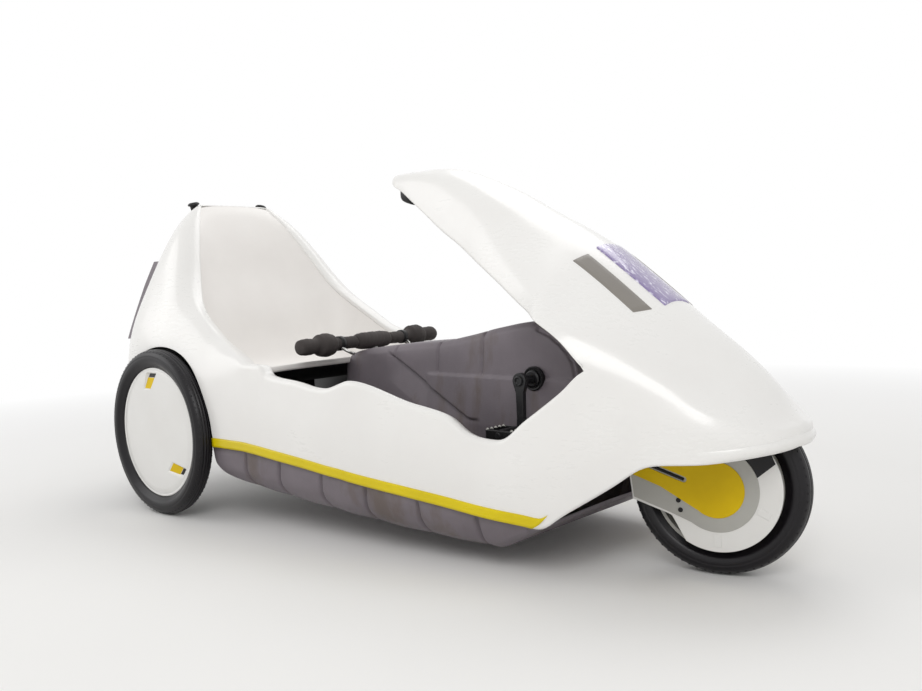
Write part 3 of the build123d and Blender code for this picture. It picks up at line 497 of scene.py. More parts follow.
# %% Tail tables
TAIL = [
    # x, hem_y, hem_z, waist_y, waist_z, side_y, side_z, rim_y, rim_z, seat_y, seat_z, ridge_z
    (-283, 336, 182, 339, 285, 331, 372, 323, 380, 290, 376, 0),
    (-320, 336, 182, 340, 288, 327, 379, 309, 396, 277, 385, 0),
    (-362, 337, 182, 341, 292, 322, 388, 296, 408, 268, 398, 0),
    (-428, 339, 182, 343, 302, 317, 400, 280, 431, 260, 424, 0),
    (-485, 340, 182, 344, 315, 316, 425, 275, 465, 254, 458, 0),
    (-535, 340, 182, 344, 330, 313, 452, 268, 496, 246, 490, 0),
    (-583, 341, 182, 344, 345, 305, 488, 247, 534, 227, 529, 0),
    (-617, 341, 182, 343, 356, 295, 518, 223, 576, 205, 571, 0),
    (-661, 341, 182, 342, 368, 283, 545, 192, 652, 177, 648, 0),
    (-700, 341, 182, 340, 378, 273, 562, 160, 716, 147, 713, 0),
    (-731, 338, 190, 337, 385, 267, 572, 136, 755, 125, 755, 0),
    (-752, 337, 205, 333, 392, 264, 574, 121, 774, 106, 778, 779),
    (-781, 336, 240, 325, 402, 259, 568, 132, 748, 104, 761, 770),
    (-820, 325, 290, 300, 405, 240, 545, 134, 686, 98, 703, 716),
    (-851, 290, 320, 272, 392, 229, 472, 130, 562, 90, 578, 590),
]
SEAT_BACK_X = -752
ARCH_R = 208.6
REAR_AXLE_X = -607
REAR_AXLE_Z = 203
TAIL_BACK_X = -860
print("tail sections", len(TAIL))

# %% [markdown]
# Each section's points are joined by a smooth line, and the skin's rows are
# set out on it by shares of its length. Every section has the same number of
# rows, so two neighbours always join to whole faces, wherever they stand.

# %% Body sections
def section_curve(points, count=240):
    # a smooth line through a section's points, dense enough to look things up
    points = np.array(points, float)
    step = np.r_[0, np.cumsum(np.linalg.norm(np.diff(points, axis=0), axis=1))]
    along = np.linspace(0, step[-1], count)
    return np.c_[along, curve_at(np.c_[step, points], along)], step


def at_share(curve, share):
    return np.array([np.interp(share, curve[:, 0], curve[:, k]) for k in (1, 2)]).T


def with_x(x, column):
    return [(x, y, z) for y, z in column]


def arch_height(x):
    reach = ARCH_R ** 2 - (x - REAR_AXLE_X) ** 2
    return REAR_AXLE_Z + math.sqrt(reach) if reach > 0 else 0.0


LOW_ROWS = 8
MID_ROWS = 8
RIM_ROWS = 4
SEAT_ROWS = 3
BACK_ROWS = 5
SIDE_ROW = LOW_ROWS + MID_ROWS
SEAT_ROW = SIDE_ROW + RIM_ROWS + SEAT_ROWS


def crest(crown_y, crown_z, ridge_z):
    # the roof is level across its middle, so it falls away with the square of y
    rise = ridge_z - crown_z
    return [(crown_y * share, ridge_z - rise * share ** 2) for share in (1, 0.6, 0.2, 0)]


def nose_curve(x):
    hem_y, hem_z, waist_y, waist_z, edge_y, edge_z = curve_at(FLANK, x)[0]
    points = [(hem_y, hem_z), (waist_y, waist_z), (edge_y, edge_z)]
    if x >= CORNER_X:
        roof = curve_at(ROOF, x)[0]
        points = points + [(roof[2], roof[3])] + crest(*roof[4:])
    return section_curve(points)


LIP_FULL = 24
LIP_ROLL = ((2, 3), (5, 5.5), (8, 7), (12, 7))
LIP_FLAT = ((0.7, 5), (0.9, 3), (1, 1))


def flank_column(x):
    # up the flank, then over the sill's rolled lip and in across its top
    curve, step = nose_curve(x)
    column = at_share(curve, lerp(0, step[1], LOW_ROWS) + lerp(step[1], step[2], MID_ROWS) + [step[2]])
    y, z = column[-1]
    wide = curve_at(LIP_WIDTH, x)[0][0] * ramp(x, CORNER_X, -CORNER_FADE)
    deep = min(1.0, wide / LIP_FULL)
    lip = [(y - across * deep, z + up * deep) for across, up in LIP_ROLL]
    return np.vstack([column, lip + [(y - wide * share, z + up * deep) for share, up in LIP_FLAT]])


def tail_points(x):
    row = curve_at(TAIL, x)[0]
    return [tuple(row[k:k + 2]) for k in range(0, 10, 2)], row


def tail_column(x):
    # the side up to the seat's edge and, where the tail is shut, on over its top
    points, row = tail_points(x)
    shut = x < SEAT_BACK_X + 1
    if shut:
        points = points[:4] + crest(*row[8:])
    curve, step = section_curve(points, 400)
    low = curve[:, 0] <= step[2]
    start = np.interp(max(row[1], arch_height(x)), curve[low, 2], curve[low, 0])
    waist = max(step[1], start + 6)
    shares = lerp(start, waist, LOW_ROWS) + lerp(waist, step[2], MID_ROWS)
    shares += lerp(step[2], step[3], RIM_ROWS) + lerp(step[3], step[4], SEAT_ROWS) + [step[4]]
    over = lerp(step[4], step[-1], BACK_ROWS) + [step[-1]]
    return at_share(curve, shares), at_share(curve, over) if shut else None


def side_column(x):
    return flank_column(x) if x >= FLANK[0][0] else tail_column(x)[0]


print("section rows", SEAT_ROW)

# %% [markdown]
# Sections stand closer together where the outline turns fast: at the nose, at
# the front of the seat and round the wheel arch.

# %% Places of the sections
def stations(*marks):
    # marks are x, then the largest step up to the next mark
    out = []
    for (a, step), (b, _) in zip(marks, marks[1:]):
        n = max(1, round(abs(b - a) / step))
        out += [a + (b - a) * k / n for k in range(n)]
    return out + [marks[-1][0]]


ARCH_STEPS = 26
front_x = stations((FLANK[0][0], 12), (-228, 6), (-198, 14), (CORNER_X, 14), (740, 10), (826, 6), (852, 2))
tail_x = [-851, -846, -840, -832, -824, -816, -809, SEAT_BACK_X, -382, -370, -354, -336, -318, -300]
tail_x += [REAR_AXLE_X + ARCH_R * math.cos(math.pi * k / ARCH_STEPS) for k in range(0, ARCH_STEPS - 3)]
side_x = sorted(round(x, 2) for x in tail_x) + front_x
print("stations", len(side_x))

# %% [markdown]
# The skin is a list of grids that share their edge rows. The flank and the
# tail come first, then the sill's inner drop, the shut part behind the seat
# and the tail's end, which shrinks to its middle.

# %% Flank and tail skin
BACK_MIDDLE_Z = 455.0
BACK_MARKS = (
    # share of the size, x
    (1.0, -851),
    (0.97, -856),
    (0.86, -859),
    (0.6, TAIL_BACK_X),
    (0.3, TAIL_BACK_X),
    (0.0, TAIL_BACK_X),
)
SILL_MARKS = ((0, 0), (5, -1), (SILL_DROP, 0))
SEAT_JOIN = (FLANK[0][0] + 30, -60)
SEAT_RAISES = 0.55


def closing(ring, middle_z, marks):
    # rings that shrink to a point, to close an open end
    rings = []
    for share, x in marks:
        row = ring * share + np.array((0, 0, middle_z)) * (1 - share)
        row[:, 0] = x
        rings.append(row)
    return np.array(rings)


side = np.array([with_x(x, side_column(x)) for x in side_x])
open_rows = [i for i, x in enumerate(side_x) if x <= CORNER_X]
skin = [side[:, :SIDE_ROW + 1], side[open_rows][:, SIDE_ROW:]]
inner = side[[i for i in open_rows if side_x[i] >= SEAT_BACK_X], -1]
drop = []
for down, out in SILL_MARKS:
    row = inner.copy()
    fade = ramp(row[:, 0], CORNER_X, -CORNER_FADE)
    row[:, 2] -= down * fade * (1 - ramp(row[:, 0], *SEAT_JOIN) * SEAT_RAISES)
    row[:, 1] += out * fade
    drop.append(row)
skin.append(np.array(drop).transpose(1, 0, 2))
shut = np.array([with_x(x, tail_column(x)[1]) for x in side_x if x <= SEAT_BACK_X])
back = np.vstack([side[0], shut[0][1:]])
skin += [shut, closing(back, BACK_MIDDLE_Z, BACK_MARKS)]
print("flank and tail grids", len(skin))

# %% [markdown]
# The roof is an arch of its own as far as the opening reaches, and ahead of
# that it takes its rows from the sections that it shares with the flank.

# %% Roof skin
roof_x = [x for x in stations((-88, 4), (-60, 14), (CORNER_X, 14)) if x < CORNER_X]
roof_x += [x for x in front_x if x >= CORNER_X]


def roof_curve(x):
    if x >= CORNER_X:
        curve, step = nose_curve(x)
        return curve, step[2:]
    edge_y, edge_z, shoulder_y, shoulder_z, *crown = curve_at(ROOF, x)[0]
    return section_curve([(edge_y, edge_z), (shoulder_y, shoulder_z)] + crest(*crown))


def roof_column(x):
    curve, step = roof_curve(x)
    shares = lerp(step[0], step[1], 6) + lerp(step[1], step[2], 8) + lerp(step[2], step[-1], 8) + [step[-1]]
    return at_share(curve, shares)


roof = np.array([with_x(x, roof_column(x)) for x in roof_x])
HEM_MARKS = ((0, 0), (3, -3), (12, -1))
hem_in = []
for across, down in HEM_MARKS:
    row = roof[:, 0].copy()
    fade = ramp(row[:, 0], CORNER_X, -CORNER_FADE)
    row[:, 1] -= across * fade
    row[:, 2] += down * fade
    hem_in.append(row)
hem_in = np.array(hem_in)[:, [x <= CORNER_X for x in roof_x]]
skin += [roof, hem_in.transpose(1, 0, 2)]
print("roof sections", len(roof_x))

# %% [markdown]
# The nose closes as the tail does, and then all grids become one mesh. It is
# smoothed once and gets the wall of a real moulding, inwards.

# %% Whole skin
NOSE_MIDDLE_Z = 264.0
NOSE_MARKS = ((1.0, 852), (0.85, 854), (0.6, 855.5), (0.3, NOSE_TIP), (0.0, NOSE_TIP))
SHELL_WALL = 3.5
whole = np.vstack([side[-1, :SIDE_ROW + 1], roof[-1, 1:]])
skin.append(closing(whole, NOSE_MIDDLE_Z, NOSE_MARKS))
WHITE_NODES = ("nose_cowl", "roof_pod", "sill_left", "sill_right", "tail_shell")
shell = make_piece("body_skin", sheet(*skin), "white_shell", "body", WHITE_NODES, mirror=True)
thicken(shell, SHELL_WALL)
print("body skin", len(shell.data.vertices), "points")

# %% [markdown]
# Behind each arch a black liner closes the wheel's well. Its roof follows the
# arch from the skin's cut edge to an inner wall, and the wall fills the arch.

# %% Wheel wells
WELL_IN = 291.0
WELL_GAP = 1.2
WELL_WALL = 2.0
HUB_HOLE_R = 32
well_r = ARCH_R + WELL_GAP
rows = []
for a in np.radians(np.linspace(-5, 185, 65)):
    edge_y = side_column(REAR_AXLE_X + ARCH_R * math.cos(a))[0][0]
    line = [(edge_y - 2.0, well_r), ((edge_y + WELL_IN) / 2, well_r), (WELL_IN + 8, well_r)]
    line += [(WELL_IN, ARCH_R - 7), (WELL_IN, ARCH_R * 0.6), (WELL_IN, HUB_HOLE_R)]
    rows.append([(REAR_AXLE_X + math.cos(a) * r, y, REAR_AXLE_Z + math.sin(a) * r) for y, r in line])
for hand, sign in SIDES:
    mesh = sheet(np.array(rows) * (1, sign, 1))
    well = make_piece("wheel_well_" + hand, mesh, "black_plastic", "body", ("wheel_liner_" + hand,))
    thicken(well, WELL_WALL, levels=0, offset=0.0)
print("wheel wells made")

# %% [markdown]
# The seat is a light grey bucket that hangs in the opening. A rib across it is
# steep near the rim and almost flat in the middle, so one power curve gives
# every rib. The ribs are placed by a short table that follows the seat from
# its front lip, down to the squab, and up the backrest.

# %% Seat shell
SEAT = [
    # rib, middle_x, middle_z, rim_x
    (0, -214, 374, -221),
    (1, -300, 352, -276),
    (2, -400, 311, -360),
    (3, -503, 314, -440),
    (4, -555, 340, -514),
    (5, -592, 398, -560),
    (6, -622, 480, -602),
    (7, -668, 580, -640),
    (8, -704, 682, -678),
    (9, -737, 758, -722),
    (10, -751, 777, -750),
]
SEAT_STEEP = [(0, 5.0), (4, 4.0), (10, 3.2)]
RIB_POINTS = 22
SEAT_WALL = 4.0
SEAT_EDGE = ((-5, -15), (2, -15), (2.6, -8), (2, -1.5))


def seat_rim(x):
    # the seat dips a little under the lip where the opening starts
    y, z = side_column(x)[-1]
    return np.array((x, y + 2, z - np.interp(x, (-300, -240), (7, 0))))


t = np.linspace(0, 1, RIB_POINTS) ** 1.5
ribs = []
for rib in np.linspace(0, 10, 61):
    middle_x, middle_z, rim_x = curve_at(SEAT, rib)[0]
    depth = 1 - (1 - t) ** curve_at(SEAT_STEEP, rib)[0][0]
    x, y, z = seat_rim(rim_x)
    ribs.append(np.stack([x + (middle_x - x) * depth, y * (1 - t), z + (middle_z - z) * depth], 1))
lip = [ribs[0] + (forward, 0, down) for forward, down in SEAT_EDGE]
mesh = sheet(lip + ribs)
seat = make_piece("seat_shell", mesh, "seat_grey", "body", ("seat_bucket",), mirror=True)
thicken(seat, SEAT_WALL)
# the seat's underside gets the near-black finish as painted shade for the dark bay under the seat's lip
SHADED_UNDERSIDE = 1
seat.data.materials.append(paints["inside_black"].material)
seat.modifiers["wall"].material_offset = SHADED_UNDERSIDE
print("seat", len(seat.data.vertices), "points")

# %% [markdown]
# A grey hump runs between the rider's legs and covers the battery and the
# crank bearing. It is moulded with pressed lines: upright grooves, a raised
# ledge, and a wide crease that runs down to the front. Pressed lines could be
# cut with booleans, but a dense grid whose points are pushed in near a line
# gives soft edges, as a mould does, and needs no clean-up.

# %% Pressed lines
def near_line(points, line):
    # distance of each point to a line of (a, b) corners, in the same plane
    best = np.full(len(points), 1e9)
    line = np.array(line, float)
    for a, b in zip(line, line[1:]):
        t = np.clip(((points - a) @ (b - a)) / ((b - a) @ (b - a)), 0, 1)
        best = np.minimum(best, np.linalg.norm(points - (a + t[:, None] * (b - a)), axis=1))
    return best


def press(flat, lines):
    # how deep each point sinks; each line has its corners, depth and half-width
    sink = np.zeros(len(flat))
    for corners, depth, wide in lines:
        sink = np.maximum(sink, depth * np.exp(-(near_line(flat, corners) / wide) ** 2))
    return sink


HUMP = [
    # x, base_y, shoulder_y, top_y, shoulder_z, top_z
    (-231, 94, 62, 44, 356, 368),
    (-214, 95, 70, 50, 366, 381),
    (-92, 95, 74, 54, 384, 400),
    (-10, 95, 75, 58, 394, 408),
    (83, 95, 76, 60, 400, 414),
    (170, 95, 77, 61, 413, 428),
    (253, 95, 77, 61, 430, 445),
    (336, 95, 76, 60, 442, 456),
    (353, 95, 75, 59, 437, 451),
    (382, 94, 74, 57, 424, 438),
    (409, 93, 72, 54, 408, 421),
    (426, 92, 70, 52, 391, 404),
    (437, 91, 68, 50, 374, 387),
    (444, 90, 67, 50, 352, 365),
    (447, 90, 66, 50, 330, 343),
]
HUMP_BASE_Z = 190
LEDGE_Z = 346
LEDGE = 4.5
HUMP_LINES = [
    (((-50, 404), (-51, 366)), 4.0, 2.6),
    (((86, 420), (83, 350)), 5.0, 2.6),
    (((214, 440), (210, 351)), 5.5, 2.6),
    (((353, 441), (382, 429), (405, 412), (420, 396), (431, 378), (437, 350)), 4.0, 2.6),
]
CREASE = ((-75, 392), (-51, 379), (7, 349), (66, 316), (124, 286), (179, 257))
CREASE_DEEP = 11.0
CREASE_WIDE = 56.0

hump_x = stations((-231, 2.6), (420, 2.0), (440, 0.9), (447, 0.9))
rows = []
for x in hump_x:
    base_y, shoulder_y, top_y, shoulder_z, top_z = curve_at(HUMP, x)[0]
    high = shoulder_z - HUMP_BASE_Z
    profile = [(base_y, HUMP_BASE_Z), (base_y - 4, HUMP_BASE_Z + high * 0.3)]
    profile += [(shoulder_y + 5, shoulder_z - high * 0.25), (shoulder_y, shoulder_z)]
    curve, step = section_curve(profile + [(top_y, top_z), (0, top_z + 1.5)], 300)
    bend, level_from = step[3] - 6, step[4] + 4
    shares = lerp(0, bend, 76) + lerp(bend, level_from, 12) + lerp(level_from, step[5], 6) + [step[5]]
    rows.append(with_x(x, at_share(curve, shares)))
hump = np.array(rows)
print("hump grid", hump.shape[:2])

# %% [markdown]
# The lines are pressed in sideways, and only where a point lies on the hump's
# side. The crease is deep under its edge and runs out below it.

# %% Hump cover
CREASE_SLANT = 0.88
TOP_FROM_Z = 380
TOP_SHARE = 0.7
HUMP_MIDDLE_Z = 270.0
HUMP_ENDS = ((1.0, 0), (0.95, 2.5), (0.5, 3), (0.0, 3))
flat_x, flat_z = hump[:, :, 0].reshape(-1), hump[:, :, 2].reshape(-1)
crease = np.array(CREASE, float)
below = (np.interp(flat_x, crease[:, 0], crease[:, 1]) - flat_z) * CREASE_SLANT
reach = ramp(flat_x, -80, 45) * ramp(flat_x, 215, -40)
deep = CREASE_DEEP * ramp(below, 0, 3.0) * ramp(below, CREASE_WIDE, -CREASE_WIDE) * reach
sink = np.maximum(press(np.c_[flat_x, flat_z], HUMP_LINES), deep)
ledge = LEDGE * ramp(flat_z, LEDGE_Z, -2.5) * ramp(flat_x, 50, 20) * ramp(flat_z, 215, 30)
push = (ledge - sink) * ramp(hump[:, :, 1].reshape(-1), 40, 20)
hump[:, :, 1] += push.reshape(hump.shape[:2])
hump[:, :, 2] += (push * (flat_z > TOP_FROM_Z) * TOP_SHARE).reshape(hump.shape[:2])
grids = [hump]
for end, way in ((hump[0], -1), (hump[-1], 1)):
    cap = closing(end, HUMP_MIDDLE_Z, [(share, end[0, 0] + way * out) for share, out in HUMP_ENDS])
    cap[:, :, 2] = np.maximum(cap[:, :, 2], HUMP_BASE_Z)
    grids.append(cap)
hump_piece = make_piece("hump_cover", sheet(*grids), "grey_shell", "body", ("centre_hump",), mirror=True)
print("hump", len(hump_piece.data.polygons), "faces")

# %% [markdown]
# The belly pan under the belt is the same grey plastic. Slanted grooves part
# it into padded panels. Each section is a line of five points from the belt
# round the bilge to the middle, and the panels swell a little between grooves.

# %% Belly pan
BELLY = [
    # x, top_y, top_z, bulge_y, bulge_z, base_y, base_z
    (-423, 325, 184, 322, 170, 306, 152),
    (-405, 328, 184, 326, 150, 294, 112),
    (-360, 329, 184, 327, 146, 288, 99),
    (-243, 325, 180, 322, 136, 280, 85),
    (42, 308, 149, 300, 106, 252, 57),
    (200, 292, 132, 282, 92, 240, 48),
    (357, 266, 113, 254, 80, 226, 43),
    (430, 254, 106, 246, 92, 232, 76),
    (463, 248, 102, 244, 98, 236, 94),
]
BELLY_GROOVES = [
    # top_x, base_x
    (-289, -298),
    (-172, -188),
    (-41, -55),
    (88, 70),
    (214, 209),
    (347, 340),
]
GROOVE_DEEP = 9.0
GROOVE_WIDE = 3.6
PANEL_SWELL = 6.0
GROOVE_TOP_Z = 165
GROOVE_LOW_Z = 80
BELLY_FROM, BELLY_TO = BELLY[0][0], BELLY[-1][0]

rows = []
for x in stations((BELLY_FROM, 2.4), (BELLY_TO, 2.4)):
    top_y, top_z, bulge_y, bulge_z, base_y, base_z = curve_at(BELLY, x)[0]
    profile = [(top_y, top_z), (bulge_y, bulge_z), (base_y + 12, base_z + 10)]
    curve, step = section_curve(profile + [(base_y - 10, base_z), (0, base_z - 1)])
    shares = lerp(0, step[1], 8) + lerp(step[1], step[3], 12) + lerp(step[3], step[4], 8) + [step[4]]
    rows.append(with_x(x, at_share(curve, shares)))
belly = np.array(rows)
flat_x = belly[:, :, 0]
down = np.clip((GROOVE_TOP_Z - belly[:, :, 2]) / (GROOVE_TOP_Z - GROOVE_LOW_Z), 0, 1.2)
across = [flat_x - (top_x + (base_x - top_x) * down) for top_x, base_x in BELLY_GROOVES]
gap = np.min(np.abs(across), axis=0)
swell = PANEL_SWELL * ramp(gap, 0, 60) ** 0.6 - GROOVE_DEEP * np.exp(-(gap / GROOVE_WIDE) ** 2)
inset = np.linspace(0, 1, 29)[None, :]
swell = swell * np.clip(inset * 9, 0, 1) * np.clip((1 - inset) * 1.6, 0, 1)
swell = swell * ramp(flat_x, BELLY_FROM, 30) * ramp(flat_x, BELLY_TO, -60)
belly[:, :, 1] += swell * 0.8
belly[:, :, 2] -= swell * 0.5
ends = [closing(end, end[0, 2], [(share, end[0, 0]) for share in (1.0, 0.5, 0.0)]) for end in belly[[0, -1]]]
mesh = sheet(belly, *ends)
belly_piece = make_piece("belly_cover", mesh, "grey_shell", "body", ("belly_pan",), mirror=True)
print("belly", len(belly_piece.data.polygons), "faces")

# %% [markdown]
# The yellow belt is a flat strip that lies on the skin just above its hem. It
# reads the same sections as the skin, so it follows every curve, and it is a
# thin closed band with a slanted front end.

# %% Belt stripe
STRIPE_HIGH = 21
STRIPE_PROUD = 1.6
STRIPE_FROM = -401
STRIPE_TO = 494
STRIPE_SLANT = 30


def skin_line(x, ups):
    # points of the outer skin, given by their way up from the hem
    curve, _ = nose_curve(x) if x >= FLANK[0][0] else section_curve(tail_points(x)[0])
    return at_share(curve, ups)


rows = []
ups = np.linspace(0, STRIPE_HIGH, 5)
for x in np.linspace(STRIPE_FROM, STRIPE_TO, 110):
    share = (x - STRIPE_FROM) / (STRIPE_TO - STRIPE_FROM)
    reach = [x - STRIPE_SLANT * share * (1 - up / STRIPE_HIGH) for up in ups]
    line = [(at, *skin_line(at, np.array([up]))[0]) for at, up in zip(reach, ups)]
    inside = [(at, y - 1, z) for at, y, z in line[::-1]]
    rows.append([(at, y + STRIPE_PROUD, z) for at, y, z in line] + inside)
for hand, sign in SIDES:
    mesh = sheet(np.array(rows) * (1, sign, 1), wrap=True, ends=True)
    make_piece("belt_" + hand, mesh, "yellow_stripe", "body", ("belt_stripe_" + hand,))
print("stripes made")

# %% [markdown]
# The head lamp's lens and the two grey bands beside it lie on the slope of the
# roof. Each is a patch of points that are read from the roof's own sections
# and lifted a little, then given a thickness and a small bevel.

# %% Lamp lens and side bands
LENS_HALF = 45
LENS_BACK = 477
LENS_FRONT = 620
LENS_PROUD = 3.0
BAND_PROUD = 1.2
PATCH_SINK = 6.0
# corners of the right band, x and y
BAND_CORNERS = ((467, 110), (478, 75), (611, 75), (593, 110))


def roof_height(x, y):
    curve, step = roof_curve(x)
    top = curve[:, 0] >= step[0]
    return np.interp(-abs(y), -curve[top, 1], curve[top, 2])


def roof_patch(name, corners, rows, columns, proud, slot, nodes):
    # corners go round: back outer, back inner, front inner, front outer
    a, b, c, d = (np.array(p, float) for p in corners)
    grid = []
    for i in np.linspace(0, 1, rows):
        shares = np.linspace(0, 1, columns)
        spots = [(a * (1 - j) + b * j) * (1 - i) + (d * (1 - j) + c * j) * i for j in shares]
        grid.append([(x, y, roof_height(x, y) + proud) for x, y in spots])
    grid = np.array(grid)
    rim = np.vstack([grid[0], grid[1:, -1], grid[-1, -2::-1], grid[-2::-1, 0]])
    mesh = sheet(grid, [rim, rim - (0, 0, PATCH_SINK)])
    return make_piece(name, mesh, slot, "body", nodes, edge=(1.4, 2, 50))


ways = ((LENS_BACK, -1), (LENS_BACK, 1), (LENS_FRONT, 1), (LENS_FRONT, -1))
corners = [(x, way * LENS_HALF) for x, way in ways]
roof_patch("lamp_lens", corners, 14, 10, LENS_PROUD, "lens_clear", ("headlamp_lens",))
for hand, sign in SIDES:
    corners = [(x, sign * y) for x, y in BAND_CORNERS]
    roof_patch("lamp_band_" + hand, corners, 14, 5, BAND_PROUD, "lamp_grey", ())
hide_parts("lamp_surround")

# %% [markdown]
# A soft lip runs round the nose just above its hem. It is a bead that is swept
# along the hem line: a half-round profile whose back lies inside the skin.

# %% Nose lip
LIP_FROM = 730
LIP_LOW = 1
LIP_HIGH = 22
LIP_PROUD = 4.0
lip_x = stations((LIP_FROM, 8), (826, 5), (852, 1.5))
plan = np.array([(x, nose_curve(x)[0][0, 1]) for x in lip_x])
way = np.gradient(plan, axis=0)
outward = np.stack([-way[:, 1], way[:, 0]], 1) / np.linalg.norm(way, axis=1)[:, None]
rows = []
for x, (out_x, out_y) in zip(lip_x, outward):
    line = at_share(nose_curve(x)[0], np.linspace(LIP_LOW, LIP_HIGH, 9))
    swell = LIP_PROUD * np.sin(np.linspace(0, math.pi, 9)) ** 0.7 * min(1.0, (x - LIP_FROM) / 60)
    ring = [(x + s * out_x, y + s * out_y, z) for s, (y, z) in zip(swell - 0.3, line)]
    rows.append(ring + [(x - 4 * out_x, y - 4 * out_y, z) for y, z in line[::-1]])
end = np.array(rows[-1])
for share in (0.66, 0.33, 0.0):
    row = end.copy()
    row[:, 1] *= share
    row[:, 0] += 4.4 * (1 - share ** 2)
    rows.append(row)
mesh = sheet(rows, wrap=True)
lip_piece = make_piece("nose_lip", mesh, "white_shell", "body", ("nose_bumper",), mirror=True)
print("lip", len(lip_piece.data.polygons), "faces")

# %% [markdown]
# Flat parts such as the fork's cover are plates with an outline. One helper
# raises an outline to a plate and another adds the round stretches of it, so a
# table holds only the corners that the shape needs. Round parts are a profile
# that is turned about an axis along y.

# %% Plates and turned parts
def arc(centre, radius, start, end, steps=36):
    # degrees, counted from forward towards up
    angles = np.radians(np.linspace(start, end, steps))
    return [(centre[0] + radius * math.cos(a), centre[1] + radius * math.sin(a)) for a in angles]


def prism(first, second):
    # a solid between two outlines with the same number of corners
    n = len(first)
    faces = [tuple(range(n)), tuple(reversed(range(n, 2 * n)))]
    return first + second, faces + [(i, (i + 1) % n, n + (i + 1) % n, n + i) for i in range(n)]


def plate_mesh(outline, y_in, y_out):
    return prism([(x, y_in, z) for x, z in outline], [(x, y_out, z) for x, z in outline])


def turned_mesh(profile, steps, centre=(0, 0), closed=False):
    # profile rows are (radius, y); a radius of 0 closes on the axis
    x, z = centre
    grid = [[(x + r * math.cos(a), y, z + r * math.sin(a)) for a in turns(steps)] for r, y in profile]
    return sheet(grid + grid[:1] if closed else grid, wrap=True)


def joined(*meshes):
    points, faces = [], []
    for more_points, more_faces in meshes:
        start = len(points)
        points += [tuple(p) for p in more_points]
        faces += [tuple(start + i for i in face) for face in more_faces]
    return points, faces


def placed(mesh, move):
    return [tuple(move(np.array(p, float))) for p in mesh[0]], mesh[1]


def handed(mesh, sign):
    # a mesh is drawn for the left, and the right one is its mirror image
    if sign > 0:
        return mesh
    return [(x, -y, z) for x, y, z in mesh[0]], [tuple(reversed(face)) for face in mesh[1]]


def make_both(body, table, move=None):
    # rows: name, mesh drawn for the left, finish, node that it stands for, edge
    for hand, sign in SIDES:
        for name, mesh, slot, node, edge in table:
            mesh = handed(mesh, sign)
            mesh = placed(mesh, move) if move else mesh
            nodes = (node + hand,) if node else ()
            on = body + hand if body.endswith("_") else body
            make_piece(name + hand, mesh, slot, on, nodes, smooth=edge is None, edge=edge)


print("plate tools ready")

# %% [markdown]
# The front wheel runs between two covers that are part of the fork. On each cover a grey tongue, a yellow
# field, two bolts, a cable in its slot and short ribs lie in steps of a millimetre or two, and a thin black
# plate near the top stands for the shadow of the body on the cover: painted shadow. All are drawn on the
# wheel's side plane, forward and up from the hub, and then turned with the fork, because it stands 12
# degrees to the left.

# %% Fork covers
HUB = np.array((697.0, 0.0, 158.811))
HEAD_AXIS = Vector((-0.258819, 0, 0.965926))
FORK_TURN = Matrix.Rotation(math.radians(12), 3, HEAD_AXIS)


def steered(p):
    return HUB + np.array(FORK_TURN @ Vector(p))


COVER_IN = 42.0
COVER_OUT = 46.5
TONGUE_OUT = 48.0
FIELD_OUT = 49.6
COVER_CENTRE = (6, 1)
COVER_R = 113
FIELD_CENTRE = (5, -2)
FIELD_R = 50
TONGUE_R = 75
ARM_BACK = [(-14, 150), (-106, 158), (-160, 51), (-148, -31), (-80, -52), (-74, -55)]
cover_line = arc(COVER_CENTRE, COVER_R, -119, 72, 72) + ARM_BACK
tongue_line = arc(FIELD_CENTRE, TONGUE_R, -125, 98, 56)
tongue_line += [(-14, 140), (-100, 150), (-156, 50), (-145, -27), (-80, -48)]
SLOT_END = (-52, 12)
SLOT_FAR = (-150, 45)
SLOT_HALF = 5.0
ROD_R = 3.1
ROD_Y = 47.6
slot_way = np.array(SLOT_FAR, float) - SLOT_END
slot_way /= np.linalg.norm(slot_way)
slot_off = np.array((-slot_way[1], slot_way[0])) * SLOT_HALF
slot_angle = math.degrees(math.atan2(slot_off[1], slot_off[0]))
field_line = arc(FIELD_CENTRE, FIELD_R, -128, 96, 48) + [(-24, 62), (-100, 104), (-150, 66)]
field_line += [tuple(np.array(SLOT_FAR) - slot_off)]
field_line += arc(SLOT_END, SLOT_HALF, slot_angle + 180, slot_angle, 9)
field_line += [tuple(np.array(SLOT_FAR) + slot_off), (-150, 15), (-132, 9), (-95, -4)]
# outline of a thin black plate that stands for the body's shadow on the cover: painted shadow
SHADE_LINE = [(50, 60), (62, 42), (73, 22), (106, 50), (96, 72), (62, 92)]
RIB_LINES = [
    # angle, inner radius, outer radius, half-width
    (-23, 79, 101, 6.5),
    (-88, 79, 101, 6.5),
]
BOLTS_AT = ((-62, -26), (-58, -43))


def rib_outline(angle, inner, outer, half):
    a = math.radians(angle)
    way = np.array((math.cos(a), math.sin(a)))
    off = np.array((-math.sin(a), math.cos(a))) * half
    corners = ((inner, -1), (outer, -1), (outer, 1), (inner, 1))
    return [tuple(np.array(FIELD_CENTRE) + way * r + off * s) for r, s in corners]


def bolt_mesh(at, y_from, radius, height):
    # a head with a sunk socket; rows are shares of the radius and the height
    shares = ((1, 0), (1, 0.7), (0.8, 1), (0.5, 1), (0.45, 0.5))
    profile = [(radius * r, y_from + height * y) for r, y in shares]
    return turned_mesh(profile + [(0.01, y_from + height * 0.5)], 16, at)


